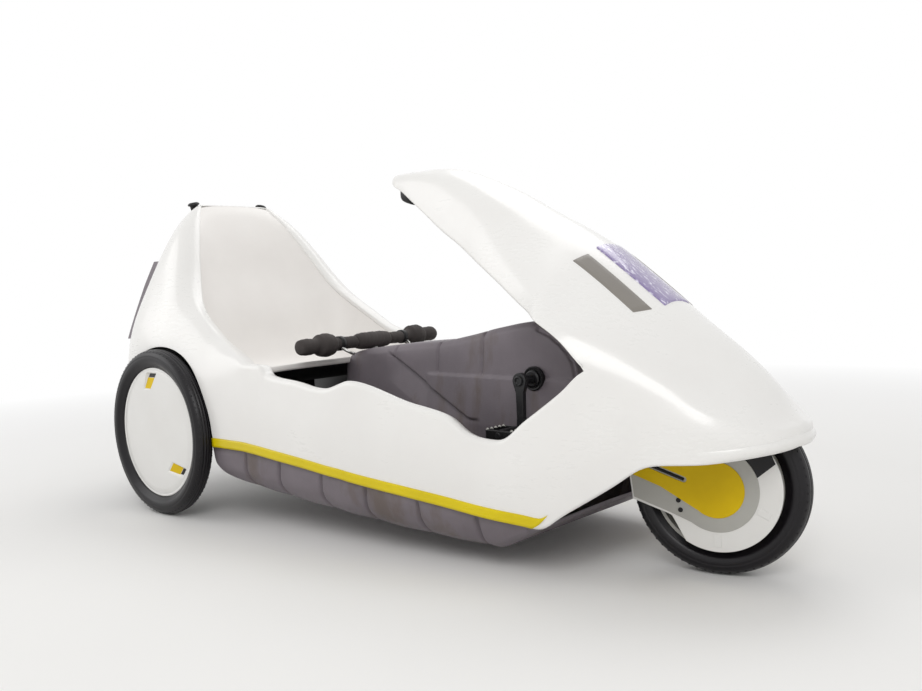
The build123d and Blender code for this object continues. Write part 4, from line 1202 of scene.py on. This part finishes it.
rod_rows = []
for t in np.linspace(0, 1, 12):
    x, z = np.array(SLOT_END) * (1 - t) + np.array(SLOT_FAR) * t
    rod_rows.append([(x - slot_way[1] * u, ROD_Y + v, z + slot_way[0] * u) for u, v in ring_of(ROD_R, 12)])
rod = sheet(rod_rows, wrap=True, ends=True)
ribs = [plate_mesh(rib_outline(*row), COVER_OUT - 0.5, COVER_OUT + 1.4) for row in RIB_LINES]
shade = plate_mesh(SHADE_LINE, COVER_OUT - 0.4, COVER_OUT + 0.5)
bolts = [bolt_mesh(at, TONGUE_OUT - 0.5, 4.4, 2.6) for at in BOLTS_AT]
field = plate_mesh(field_line, TONGUE_OUT - 0.5, FIELD_OUT)
FORK_PIECES = [
    ("fork_cover_", plate_mesh(cover_line, COVER_IN, COVER_OUT), "light_plastic", "fork_cheek_", (1.2, 3)),
    ("fork_tongue_", plate_mesh(tongue_line, COVER_OUT - 0.5, TONGUE_OUT), "rim_grey", None, (0.9, 2)),
    ("fork_field_", field, "yellow_panel", "fork_panel_", (0.9, 2)),
    ("cover_ribs_", joined(*ribs), "light_plastic", None, (0.6, 2)),
    # the black fittings include the painted shadow plate
    ("fork_fittings_and_shadow_", joined(shade, rod, *bolts), "black_plastic", None, (0.4, 2)),
]
make_both("fork", FORK_PIECES, steered)
print("fork covers", len(cover_line), "corners")

# %% [markdown]
# The tyres are turned from a profile of the carcass. It is a half circle that
# is squared a little, with grooves round the tread and an inner wall.

# %% Tyre profiles
# radius, width and radius of the bead
FRONT_TYRE = (159.0, 57.0, 116.0)
REAR_TYRE = (203.0, 45.0, 163.0)
TREAD_DEEP = 2.2


def tyre_profile(radius, wide, bead, grooves):
    high = (radius - bead) / 2
    middle = radius - high
    rows = []
    for a in np.radians(np.linspace(-118, 118, 71)):
        c, s = math.cos(a), math.sin(a)
        r = middle + high * math.copysign(abs(c) ** 0.86, c)
        y = wide / 2 * math.copysign(abs(s) ** 0.90, s)
        deep = sum(TREAD_DEEP * math.exp(-((y - g) / 1.3) ** 2) for g in grooves if c > 0)
        bead_line = 0.9 * math.exp(-((abs(math.degrees(a)) - 84) / 3.0) ** 2)
        rows.append((r - deep, y * (1 - bead_line * 0.035)))
    inner = ((bead + 2, 0.30), (bead - 3, 0.26), (bead - 3, -0.26), (bead + 2, -0.30))
    return rows + [(r, wide * share) for r, share in inner]


print("tyre rows", len(tyre_profile(*FRONT_TYRE, ())))

# %% [markdown]
# A row of small shoulder blocks goes round each side of a tyre. Geometry Nodes
# makes it: points are set out by their number on a circle, and a tapered block
# is put on each of them, so the count and the radius stay two plain inputs.
# The same few steps begin and end every tree, so a small class holds them.

# %% Trees that repeat a block
class Repeat:
    def __init__(self, name, *sizes):
        self.tree = bpy.data.node_groups.new(name, "GeometryNodeTree")
        face = self.tree.interface
        kinds = [("Count", "Int")] + [(size, "Float") for size in sizes] + [("Finish", "Material")]
        for label, kind in kinds:
            face.new_socket(label, in_out="INPUT", socket_type="NodeSocket" + kind)
        face.new_socket("Geometry", in_out="OUTPUT", socket_type="NodeSocketGeometry")
        self.given = self.tree.nodes.new("NodeGroupInput").outputs

    def node(self, kind, **inputs):
        named = {key.replace("_", " "): value for key, value in inputs.items()}
        return add_node(self.tree, kind, None, named)[0]

    def math(self, operation, a, b=0.0):
        return add_node(self.tree, "ShaderNodeMath", {"operation": operation}, {0: a, 1: b})[0]

    def copies(self, spots, block, **turned):
        return self.node("GeometryNodeInstanceOnPoints", Points=spots, Instance=block, **turned)

    def close(self, *parts):
        both = self.node("GeometryNodeJoinGeometry")
        for part in parts:
            self.tree.links.new(part, both.node.inputs[0])
        real = self.node("GeometryNodeRealizeInstances", Geometry=both)
        painted = self.node("GeometryNodeSetMaterial", Geometry=real, Material=self.given["Finish"])
        self.tree.links.new(painted, self.tree.nodes.new("NodeGroupOutput").inputs[0])
        return self.tree


def ring_tree():
    ring = Repeat("ring of blocks", "Radius", "Side", "Length", "Width", "Lean")
    given = ring.given
    index = ring.node("GeometryNodeInputIndex")
    turn = ring.math("DIVIDE", ring.math("MULTIPLY", index, 2 * math.pi), given["Count"])
    across = ring.math("MULTIPLY", ring.math("COSINE", turn), given["Radius"])
    along = ring.math("MULTIPLY", ring.math("SINE", turn), given["Radius"])
    sides = []
    for way in (1.0, -1.0):
        offset = ring.math("MULTIPLY", given["Side"], way)
        spot = ring.node("ShaderNodeCombineXYZ", X=across, Y=offset, Z=along)
        dots = ring.node("GeometryNodePoints", Count=given["Count"], Position=spot)
        block = ring.node(
            "GeometryNodeMeshCone", Vertices=4, Radius_Top=given["Width"],
            Radius_Bottom=given["Length"], Depth=given["Width"])
        lean = ring.math("MULTIPLY", given["Lean"], -way)
        spin = ring.node("ShaderNodeCombineXYZ", X=lean, Y=ring.math("SUBTRACT", math.pi / 2, turn))
        sides.append(ring.copies(dots, block, Rotation=spin))
    return ring.close(*sides)


def repeated(tree, slot, **inputs):
    # run the tree on an empty carrier and keep its result as points and faces
    mesh = bpy.data.meshes.new("carrier")
    carrier = bpy.data.objects.new("carrier", mesh)
    bpy.context.scene.collection.objects.link(carrier)
    run = carrier.modifiers.new("repeat", "NODES")
    run.node_group = tree
    for item in tree.interface.items_tree:
        if item.in_out == "INPUT":
            run[item.identifier] = paints[slot].material if item.name == "Finish" else inputs[item.name]
    made = bpy.data.meshes.new_from_object(carrier.evaluated_get(bpy.context.evaluated_depsgraph_get()))
    points = [tuple(v.co / MM) for v in made.vertices]
    faces = [tuple(p.vertices) for p in made.polygons]
    bpy.data.objects.remove(carrier)
    bpy.data.meshes.remove(made)
    return points, faces


ring_of_blocks = ring_tree()
print("block tree", len(ring_of_blocks.nodes), "nodes")

# %% Tyres
REAR_WHEEL_Y = 349.5
REAR_AXLE = np.array((REAR_AXLE_X, REAR_WHEEL_Y, REAR_AXLE_Z))


def tyre_mesh(size, grooves, count, steps):
    radius, wide, bead = size
    carcass = turned_mesh(tyre_profile(radius, wide, bead, grooves), steps, closed=True)
    blocks = repeated(
        ring_of_blocks, "tyre_black", Count=count, Radius=(radius - 5.6) * MM, Side=wide * 0.335 * MM,
        Length=3.0 * MM, Width=2.0 * MM, Lean=math.radians(38))
    return joined(carcass, blocks)


front_tyre = placed(tyre_mesh(FRONT_TYRE, (-9, 0, 9), 66, 144), steered)
make_piece("front_tyre_rubber", front_tyre, "tyre_black", "front_wheel", ("front_tyre",), weld=0.01)
rear_tyre = tyre_mesh(REAR_TYRE, (-7, 0, 7), 84, 160)
for hand, sign in SIDES:
    mesh = placed(rear_tyre, lambda p: p + REAR_AXLE * (1, sign, 1))
    make_piece("tyre_rubber_" + hand, mesh, "tyre_black", "wheel_" + hand, ("rear_tyre_" + hand,), weld=0.01)
print("tyres made")

# %% [markdown]
# Each rear wheel has a white cap that is slightly domed and rolled at its rim.
# Two pockets are sunk in it; they get deeper towards the rim. The cap is a
# turned dish whose points are pushed in where a pocket is.

# %% Rear wheel caps
CAP_OUT = 365.0
CAP_PROFILE = [
    # radius, how far the surface lies behind the outermost point
    (0.0, 0.0),
    (60.0, 0.6),
    (110.0, 1.6),
    (140.0, 2.9),
    (148.0, 4.2),
    (153.0, 5.4),
    (156.0, 4.6),
    (158.4, 5.6),
    (159.0, 8.0),
]
CAP_TURN = [
    # the rolled edge behind the widest ring
    (158.6, 9.5),
    (158.0, 12.0),
]
POCKETS = [
    # middle of the inner edge, middle of the outer edge, lean of both edges, half-widths
    ((-30, 104), (-8, 146), 0, 16, 23),
    ((57, -79), (115, -90), 48, 17, 15),
]
POCKET_DEEP = 8.0
CAP_STEPS = 400
POCKET_EDGE = 2.4


def pocket_frame(inner, outer, lean):
    # the pocket's middle line, the way of its two edges, and how far they lie apart
    start, way = np.array(inner, float), np.array(outer, float) - inner
    edge = np.array((math.cos(math.radians(lean)), math.sin(math.radians(lean))))
    return start, way, edge, way[0] * edge[1] - way[1] * edge[0]


def pocket_share(x, z):
    # 0 outside a pocket, then growing towards its outer end
    best = np.zeros_like(x)
    for inner, outer, lean, half_in, half_out in POCKETS:
        start, way, edge, apart = pocket_frame(inner, outer, lean)
        along = ((x - start[0]) * edge[1] - (z - start[1]) * edge[0]) / apart
        across = np.abs((way[0] * (z - start[1]) - way[1] * (x - start[0])) / apart)
        half = half_in + (half_out - half_in) * along
        inside = ramp(along * abs(apart), 0, POCKET_EDGE) * ramp((1 - along) * abs(apart), 0, POCKET_EDGE)
        inside = inside * ramp(half - across, 0, POCKET_EDGE)
        best = np.maximum(best, inside * pocket_depth(along))
    return best


def pocket_depth(along):
    # shallow at the inner edge, deep at the outer one
    return 0.25 + 0.75 * np.clip(along, 0, 1)


profile_r, profile_d = np.array(CAP_PROFILE).T
radii = [*np.linspace(0.01, 90, 14), *np.linspace(92, 149, 54), *np.linspace(150, 156, 9), 157.4, 158.4, 159]
rings = [(r, np.interp(r, profile_r, profile_d)) for r in radii] + CAP_TURN
ring_r, ring_d = np.array(rings).T[:, :, None]
ring_x, ring_z = ring_r * np.cos(turns(CAP_STEPS)), ring_r * np.sin(turns(CAP_STEPS))
cap_y = CAP_OUT - ring_d - POCKET_DEEP * pocket_share(ring_x, ring_z)
cap_points, cap_faces = sheet(np.stack([ring_x + REAR_AXLE[0], cap_y, ring_z + REAR_AXLE[2]], 2), wrap=True)
cap_faces.append(tuple(range(CAP_STEPS)))
print("cap", len(cap_faces), "faces")

# %% [markdown]
# A yellow plate lies on the floor of each pocket. Near its outer end a black plate stands for the dark of
# the hole there: painted shade. Both read the pocket's own slope, so they stay just above its floor.

# %% Pocket plates and rear wheels
RIM_PROFILE = [(150, 352), (158, 354), (161, 351), (160, 340), (158, 330)]
RIM_PROFILE += [(163, 324), (162, 320), (154, 321), (150, 335)]


def pocket_plates(spare, near_share, far_share, lift):
    plates = []
    for inner, outer, lean, half_in, half_out in POCKETS:
        start, way, edge, _ = pocket_frame(inner, outer, lean)
        spots = []
        for share, side in ((near_share, -1), (far_share, -1), (far_share, 1), (near_share, 1)):
            half = half_in + (half_out - half_in) * share - spare
            x, z = start + way * share + edge * side * half
            dish = float(np.interp(math.hypot(x, z), profile_r, profile_d))
            deep = dish + POCKET_DEEP * pocket_depth(share)
            spots.append((x + REAR_AXLE[0], CAP_OUT - deep + lift, z + REAR_AXLE[2]))
        plates.append(prism(spots, [(x, y - 2.0, z) for x, y, z in spots]))
    return joined(*plates)


rim_ring = turned_mesh(RIM_PROFILE, 120, (REAR_AXLE[0], REAR_AXLE[2]), closed=True)
CAP_PIECES = [
    ("cap_", (cap_points, cap_faces), "light_plastic", "hubcap_", None),
    ("rim_", rim_ring, "rim_grey", "rear_rim_", None),
    ("cap_insert_", pocket_plates(2.6, 0.06, 0.70, 0.5), "yellow_panel", "hubcap_insert_", (0.5, 2)),
    # the black plates stand for the dark hole at each pocket's deep end: painted shade
    ("cap_shade_plate_", pocket_plates(5.0, 0.72, 0.93, 0.7), "black_plastic", None, (0.5, 2)),
]
make_both("wheel_", CAP_PIECES)
print("rear wheels dressed")

# %% [markdown]
# The handlebar is short and thick. Foam is drawn over it: a round end knob, a
# wide collar over the lever's clamp, a grip, and a padded lump in the middle.
# One profile along the bar gives all of that; it is turned about the bar, and
# a slow waviness keeps the foam from looking machined.

# %% Handlebar places and foam profiles
BAR_AT = np.array((-208.85, 0, 408.97))
BAR_TURN = math.radians(7)
BAR_ALONG = np.array((-math.sin(BAR_TURN), math.cos(BAR_TURN), 0))
BAR_FORWARD = np.array((math.cos(BAR_TURN), math.sin(BAR_TURN), 0))
GRIP_FOAM = [
    # along the bar from its middle, radius
    (62, 12.5),
    (66, 14.2),
    (100, 14.6),
    (132, 14.8),
    (140, 17.5),
    (149, 25.0),
    (170, 27.0),
    (186, 24.5),
    (194, 18.5),
    (200, 17.0),
    (206, 17.6),
    (232, 18.8),
    (244, 17.2),
    (250, 12.5),
    (252, 5.0),
    (252.4, 0.01),
]
PAD_FOAM = [
    (-61, 13.0),
    (-58, 15.5),
    (-48, 19.0),
    (-32, 20.0),
    (0, 20.3),
    (32, 20.0),
    (48, 19.0),
    (58, 15.5),
    (61, 13.0),
]


def bar_spot(along, up, forward):
    return BAR_AT + BAR_ALONG * along + np.array((0, 0, up)) + BAR_FORWARD * forward


def foam_mesh(table, steps=32, seed=1.0):
    rows = []
    for s in np.linspace(table[0][0], table[-1][0], 72):
        radius = max(0.01, curve_at(table, s)[0][0])
        row = []
        for a in turns(steps):
            wave = 0.018 * math.sin(s * 0.21 + seed * 2 + 2 * a) + 0.012 * math.sin(s * 0.47 + 3 * a)
            r = radius * (1 + wave)
            row.append(bar_spot(s, r * math.cos(a), r * math.sin(a)))
        rows.append(row)
    return sheet(rows, wrap=True, ends=True)


def tube_mesh(route, radius, steps=12):
    # a round tube along a smooth route through its points
    route = np.array(route, float)
    share = np.r_[0, np.cumsum(np.linalg.norm(np.diff(route, axis=0), axis=1))]
    line = curve_at(np.c_[share, route], np.linspace(0, share[-1], 10 * len(route)))
    rows = []
    for i, spot in enumerate(line):
        way = line[min(i + 1, len(line) - 1)] - line[max(i - 1, 0)]
        way /= np.linalg.norm(way)
        one = np.cross(way, (0.3, 0.2, 0.93))
        one /= np.linalg.norm(one)
        two = np.cross(way, one)
        rows.append([spot + radius * (one * math.cos(a) + two * math.sin(a)) for a in turns(steps)])
    return sheet(rows, wrap=True, ends=True)


print("foam rows", len(GRIP_FOAM), len(PAD_FOAM))

# %% [markdown]
# Each side has a grip, a curved lever and the clamp that carries it. A steel
# tube runs through all of them, and the ends of the foam close over it.

# %% Handlebar pieces
LEVER_ROUTE = [(121, -10, 12), (118, -16, 22), (112, -21, 29), (105, -24, 30), (98, -24, 27)]
LEVER_R = 3.6
CLAMP_AT = 116
CLAMP = [(14.9, -7), (17.2, -6), (17.2, 6), (14.9, 7)]
BAR_ENDS = (-246, -120, 0, 120, 246)
BAR_R = 10.5
make_piece("pad_foam", foam_mesh(PAD_FOAM), "foam_brown", "bars", ("bar_pad",))
for hand, sign in SIDES:
    table = sorted((along * sign, radius) for along, radius in GRIP_FOAM)
    grip = foam_mesh(table, seed=float(sign))
    make_piece("grip_foam_" + hand, grip, "foam_brown", "bars", ("grip_" + hand,))
    blade = tube_mesh([bar_spot(s * sign, up, forward) for s, up, forward in LEVER_ROUTE], LEVER_R)
    make_piece("lever_" + hand, blade, "steel", "bars", ("brake_lever_" + hand,))
    band = placed(turned_mesh(CLAMP, 28), lambda p: bar_spot(CLAMP_AT * sign + p[1], p[2], p[0]))
    make_piece("lever_clamp_" + hand, band, "black_plastic", "bars")
bar_tube = tube_mesh([bar_spot(s, 0, 0) for s in BAR_ENDS], BAR_R, 20)
make_piece("bar_tube", bar_tube, "black_steel", "bars", ("handlebar",))
print("handlebar made")

# %% [markdown]
# The cranks are forged arms with a round boss and an eye for the pedal. Each
# pedal is a cage with a barrel through it and a row of teeth on both edges.

# %% Cranks and pedals
CRANK_AT = (351.85, 345.8)
CRANK_LENGTH = 96.0
ARM_Y = 132.0
ARM_HALF = 5.5
FLANK_HALF = 8.0
BOSS_R = 16
EYE_R = 11
BOSS_CAP = [(0.01, 0), (10, 0), (10, 9), (7, 10), (7, 6), (0.01, 6)]
PEDAL_Y = 176.5
PEDAL_LONG = 66.0
PEDAL_HIGH = 20.0
PEDAL_WIDE = 62.0


def arm_outline(way):
    # boss at the axle, eye at the pedal, and slim straight flanks between them
    outline = arc((0, 0), BOSS_R, 20, -200, 20) + [(-FLANK_HALF - 1, 24), (-FLANK_HALF, 70)]
    outline += arc((0, CRANK_LENGTH), EYE_R, 160, 20, 14) + [(FLANK_HALF, 70), (FLANK_HALF + 1, 24)]
    return [(CRANK_AT[0] + way * x, CRANK_AT[1] + way * z) for x, z in outline]


AXLE = [(0.01, -128), (8.5, -128), (8.5, 128), (0.01, 128)]
PIN_R = 6.5
PIN_END = 208
crank_meshes = [turned_mesh(AXLE, 24, CRANK_AT)]
for way in (-1, 1):
    # the right arm hangs down and the left one stands up
    y = ARM_Y * way
    crank_meshes.append(plate_mesh(arm_outline(way), y - ARM_HALF, y + ARM_HALF))
    crank_meshes.append(turned_mesh([(r, y + way * out) for r, out in BOSS_CAP], 24, CRANK_AT))
    pin = [(r, y - way * 8) for r in (0.01, PIN_R)] + [(r, way * PIN_END) for r in (PIN_R, 0.01)]
    crank_meshes.append(turned_mesh(pin, 20, (CRANK_AT[0], CRANK_AT[1] + way * CRANK_LENGTH)))
crank = joined(*crank_meshes)
make_piece("crank_arms", crank, "black_steel", "cranks", ("crankset",), smooth=False, edge=(1.4, 3, 40))
print("crank arms", len(crank[1]), "faces")

# %% [markdown]
# The pedal's teeth are a row, so a second tree sets blocks out on a line. The
# cage is a small square section that is led round a rectangle.

# %% Pedals
def row_tree():
    row = Repeat("row of teeth", "Pitch", "Size", "Height")
    given = row.given
    step = row.node("ShaderNodeCombineXYZ", Y=given["Pitch"])
    line = row.node("GeometryNodeMeshLine", Count=given["Count"], Offset=step)
    top = row.math("MULTIPLY", given["Size"], 0.35)
    sizes = {"Radius_Top": top, "Radius_Bottom": given["Size"], "Depth": given["Height"]}
    return row.close(row.copies(line, row.node("GeometryNodeMeshCone", Vertices=4, **sizes)))


teeth = repeated(row_tree(), "rim_grey", Count=5, Pitch=12.0 * MM, Size=4.6 * MM, Height=3.6 * MM)
WALL = 7.0
CORNER = 8.0


def cage_mesh():
    half_x, half_y, half_z = PEDAL_LONG / 2, PEDAL_WIDE / 2, PEDAL_HIGH / 2
    rows = []
    for quarter, (cx, cy) in enumerate(((1, 1), (-1, 1), (-1, -1), (1, -1))):
        middle = np.array((cx * (half_x - CORNER), cy * (half_y - CORNER)))
        for a in np.radians(np.linspace(90 * quarter, 90 * quarter + 90, 7)):
            way = np.array((math.cos(a), math.sin(a)))
            out, inner = middle + CORNER * way, middle + (CORNER - WALL) * way
            rows.append([(*out, half_z - 1), (*out, 1 - half_z), (*inner, -half_z), (*inner, half_z)])
    return sheet(rows + rows[:1], wrap=True)


TOOTH_X = PEDAL_LONG / 2 - 3.6
SPOKE_X = PEDAL_LONG / 2 - 4
cage = [cage_mesh(), turned_mesh([(7.0, -30), (10.5, -30), (10.5, 30), (7.0, 30)], 24, closed=True)]
for y in (-15.0, 0.0, 15.0):
    outline = [(-SPOKE_X, -5), (SPOKE_X, -5), (SPOKE_X, 5), (-SPOKE_X, 5)]
    cage.append(plate_mesh(outline, y - 1.6, y + 1.6))
edges = []
for x, up in ((-TOOTH_X, 1), (TOOTH_X, 1), (-TOOTH_X, -1), (TOOTH_X, -1)):
    edges.append(placed(teeth, lambda p: (x + p[0], p[1] - 24.0, up * (PEDAL_HIGH / 2 - 1.2 + p[2]))))
for hand, sign in SIDES:
    at = np.array((CRANK_AT[0], PEDAL_Y * sign, CRANK_AT[1] + sign * CRANK_LENGTH))
    body, node = "foot_" + hand, ("pedal_" + hand,)
    mesh = placed(joined(*cage), lambda p: p + at)
    make_piece("pedal_cage_" + hand, mesh, "black_plastic", body, node, smooth=False, edge=(0.8, 2))
    mesh = placed(joined(*edges), lambda p: p + at)
    make_piece("pedal_teeth_" + hand, mesh, "rim_grey", body, smooth=False)
print("cranks and pedals made")

# %% [markdown]
# Small fittings finish the body: the black switch pod under the roof's tip,
# two flat caps where a mast can be plugged in, and the black rings of the
# crank bearing.

# %% Small fittings
POD = [
    # x, half_y, low_z, high_z
    (-58, 30, 738, 756),
    (-52, 35, 729, 759),
    (-36, 36, 722, 757),
    (-24, 34, 719, 746),
    (-20, 28, 722, 738),
]
rows = []
for x in np.linspace(-58, -20, 12):
    half, low, high = curve_at(POD, x)[0]
    middle, tall = (low + high) / 2, (high - low) / 2
    ring = []
    for a in turns(40):
        c, s = math.cos(a), math.sin(a)
        y = half * math.copysign(abs(c) ** 0.4, c)
        ring.append((x, y, middle + tall * math.copysign(abs(s) ** 0.5, s)))
    rows.append(ring)
mesh = sheet(rows, wrap=True, ends=True)
make_piece("switch_pod", mesh, "black_plastic", "body", ("instrument_pod",), edge=(1.2, 2, 50))

KNOB_AT = (-781, 110, 776)
KNOB = [(0.01, 11.0), (8, 11.0), (12, 10.0), (15, 7.5), (16, 5.0)]
KNOB += [(15, 3.0), (11, 1.5), (10, -10.0), (0.01, -10.0)]
KNOB_LEAN = 12
for hand, sign in SIDES:
    lean = Matrix.Rotation(math.radians(KNOB_LEAN * sign), 3, "X").inverted()
    spot = np.array(KNOB_AT) * (1, sign, 1)
    mesh = placed(turned_mesh(KNOB, 32), lambda p: spot + np.array(lean @ Vector((p[0], p[2], p[1]))))
    make_piece("mast_cap_" + hand, mesh, "black_plastic", "body", ("mast_socket_" + hand,))

HUB_R = 21
BEARING = [(0.01, -98), (14, -98), (17, -96), (17, 96), (14, 98), (0.01, 98)]
HUB_RING = [(HUB_R + 3, -6), (HUB_R + 3, 2), (HUB_R + 1, 4.5)]
HUB_RING += [(HUB_R - 1.5, 4), (HUB_R - 2, 0.5), (0.01, 0.5)]
hub_parts = [turned_mesh(BEARING, 36, CRANK_AT)]
for sign in (1, -1):
    hub_parts.append(turned_mesh([(r, sign * (90.5 + out)) for r, out in HUB_RING], 40, CRANK_AT))
mesh = joined(*hub_parts)
make_piece("crank_bearing", mesh, "black_plastic", "body", ("bottom_bracket",), smooth=False)
print("small fittings made")

# %% [markdown]
# The luggage lid keeps its exact form, and a raised bead, a lock and the
# hinges' four screws lie on its outer face. Their places are found by casting
# a ray from behind at the lid's own mesh, so they sit on it wherever it curves.

# %% Lid bead
lid_mesh = frame["nodes"]["luggage_lid"].data
lid_tree = BVHTree.FromPolygons([v.co for v in lid_mesh.vertices], [p.vertices for p in lid_mesh.polygons])
lid_low, lid_high = (np.array(corner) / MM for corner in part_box("luggage_lid"))
BEAD_INSET = 30
BEAD_CORNER = 26
BEAD_R = 3.0


def lid_face(y, z):
    # how far back the lid's outer face lies
    hit = lid_tree.ray_cast(Vector((-1.2, y * MM, z * MM)), Vector((1, 0, 0)))[0]
    return None if hit is None else hit.x / MM


def lid_half(z):
    # half of the lid's width at this height
    return max((y for y in np.arange(20, 300, 2.0) if lid_face(y, z) is not None), default=0)


def on_lid(x, y, z):
    # sets a turned part on the lid, with its axis pointing back
    return lambda p: (x - p[1], y + p[0], z + p[2])


bead_low, bead_high = lid_low[2] + BEAD_INSET, lid_high[2] - BEAD_INSET
half_low, half_high = lid_half(bead_low) - BEAD_INSET, lid_half(bead_high) - BEAD_INSET
print("lid half widths", half_low, half_high)
loop = []
for y_way, z_way, start in ((1, 1, 0), (-1, 1, 90), (-1, -1, 180), (1, -1, 270)):
    half, z0 = (half_high, bead_high) if z_way > 0 else (half_low, bead_low)
    centre = (y_way * (half - BEAD_CORNER), z0 - z_way * BEAD_CORNER)
    loop += arc(centre, BEAD_CORNER, start, start + 90, 8)
loop.append(loop[0])
bead_line = []
for a, b in zip(loop, loop[1:]):
    for t in np.linspace(0, 1, max(2, round(math.dist(a, b) / 18)), endpoint=False):
        y, z = a[0] + (b[0] - a[0]) * t, a[1] + (b[1] - a[1]) * t
        bead_line.append((lid_face(y, z), y, z))
bead_rows = []
for i, (x, y, z) in enumerate(bead_line):
    before, after = np.array(bead_line[i - 1]), np.array(bead_line[(i + 1) % len(bead_line)])
    way = (after - before)[1:] / np.linalg.norm((after - before)[1:])
    bead_rows.append([(x + u, y - way[1] * v, z + way[0] * v) for u, v in ring_of(BEAD_R, 10)])
mesh = sheet(bead_rows + bead_rows[:1], wrap=True)
make_piece("lid_bead", mesh, "grey_shell", "lid")

# %% Lid lock and screws
LOCK_AT = (0.0, bead_high - 26)
LOCK = [(0.01, 3.5), (5.5, 3.5), (6.5, 2.6), (7.0, 4.6), (12.5, 4.6)]
LOCK += [(14.0, 3.0), (14.0, -5.0), (0.01, -5.0)]
lock = placed(turned_mesh(LOCK, 36), on_lid(lid_face(*LOCK_AT), *LOCK_AT))
make_piece("lid_lock", lock, "black_plastic", "lid")
HINGE_Y = 120
SCREW_APART = 18
SCREW_UP = 15
screws = []
for y in (way * HINGE_Y + off for way in (-1, 1) for off in (-SCREW_APART, SCREW_APART)):
    z = lid_low[2] + SCREW_UP
    screws.append(placed(bolt_mesh((0, 0), 0.0, 5.0, 2.8), on_lid(lid_face(y, z) + 0.6, y, z)))
make_piece("lid_screws", joined(*screws), "steel", "lid")
print("lid fittings made")

# %% [markdown]
# Paint the pieces that keep their exact form, so that nothing is left bare. The parts inside the body get a
# near-black finish instead of their own, as painted shade.

# %% Finishes on the exact pieces
SLOTS = {row["node"]: row["material_slot"] for row in frame["record"]["subparts"]}
# these inner parts are painted near-black as painted shade for the unlit inside of the body
SHADED_INSIDE = ("frame", "bay_floor", "battery_block", "motor_block", "floor_tray", "rear_axle")
for name, node in frame["nodes"].items():
    node.data.materials.clear()
    node.data.materials.append(paints["inside_black" if name in SHADED_INSIDE else SLOTS[name]].material)
print("painted", len(frame["nodes"]))

# %% [markdown]
# A pale floor and soft lamps show the form without hard shadows. The world is
# white where the camera or a mirror sees it, and dimmer as a light.

# %% Floor
FLOOR_R = 60.0
FADE_FROM = 1.3
FADE_OVER = 2.4
floor_mesh = bpy.data.meshes.new("floor")
floor_mesh.from_pydata([(x, y, 0) for x, y in ring_of(FLOOR_R, 96)], [], [tuple(range(96))])
floor = bpy.data.objects.new("floor", floor_mesh)
bpy.context.scene.collection.objects.link(floor)
ground = Paint("studio floor", Roughness=0.75)
cloud = ground.noise(1.1, 3.0)
ground.set(Base_Color=ground.mix(cloud, tone(243, 242, 240), tone(238, 237, 235)))
far = ground.node("ShaderNodeVectorMath", {"operation": "LENGTH"}, {0: ground.place}, out="Value")
share = ((far - FADE_FROM) * (1 / FADE_OVER)).math("ADD", 0.0, clamp=True)
WHITE = (1, 1, 1, 1)
glow = add_node(ground.tree, "ShaderNodeEmission", None, {0: WHITE})
inputs = {0: share, 1: ground.shader.outputs[0], 2: glow[0]}
fade = add_node(ground.tree, "ShaderNodeMixShader", None, inputs)
feed(ground.tree, ground.out.inputs[0], fade[0])
floor_mesh.materials.append(ground.material)
print("floor radius", FLOOR_R)

# %% [markdown]
# A world lights from all sides at once. The light path tells what asks for its
# colour, so the eye and the mirrors get white and the surfaces a dimmer light.

# %% World
WORLD_LIGHT = 0.55
world = bpy.data.worlds.new("studio")
bpy.context.scene.world = world
world.use_nodes = True
tree = world.node_tree
tree.nodes.clear()
rays = add_node(tree, "ShaderNodeLightPath")
pair = {0: rays["Is Camera Ray"], 1: rays["Is Glossy Ray"]}
either = add_node(tree, "ShaderNodeMath", {"operation": "MAXIMUM"}, pair)
pair = {0: either[0], 1: rays["Is Transmission Ray"]}
seen = add_node(tree, "ShaderNodeMath", {"operation": "MAXIMUM"}, pair)
sky = add_node(tree, "ShaderNodeBackground", None, {0: WHITE, 1: WORLD_LIGHT})
card = add_node(tree, "ShaderNodeBackground", None, {0: WHITE, 1: 1.0})
blend = add_node(tree, "ShaderNodeMixShader", None, {0: seen[0], 1: sky[0], 2: card[0]})
add_node(tree, "ShaderNodeOutputWorld", None, {0: blend[0]})
print("world nodes", len(tree.nodes))

# %% Lamps
AIM = (0, 0, 0.3)
LAMPS = [
    # name, place, width, power
    ("key", (2.2, -2.6, 2.6), 2.0, 46),
    ("fill", (-2.6, -2.0, 1.9), 2.4, 22),
    ("top", (-0.4, 1.6, 3.0), 2.4, 30),
]
for name, at, size, power in LAMPS:
    data = bpy.data.lights.new(name, "AREA")
    data.shape = "DISK"
    data.size = size
    data.energy = power
    light = bpy.data.objects.new(name, data)
    bpy.context.scene.collection.objects.link(light)
    aim = (Vector(AIM) - Vector(at)).to_track_quat("-Z", "Y")
    light.matrix_world = Matrix.Translation(at) @ aim.to_matrix().to_4x4()
bpy.context.scene.view_settings.view_transform = "Standard"
print("lights", len(bpy.data.lights))
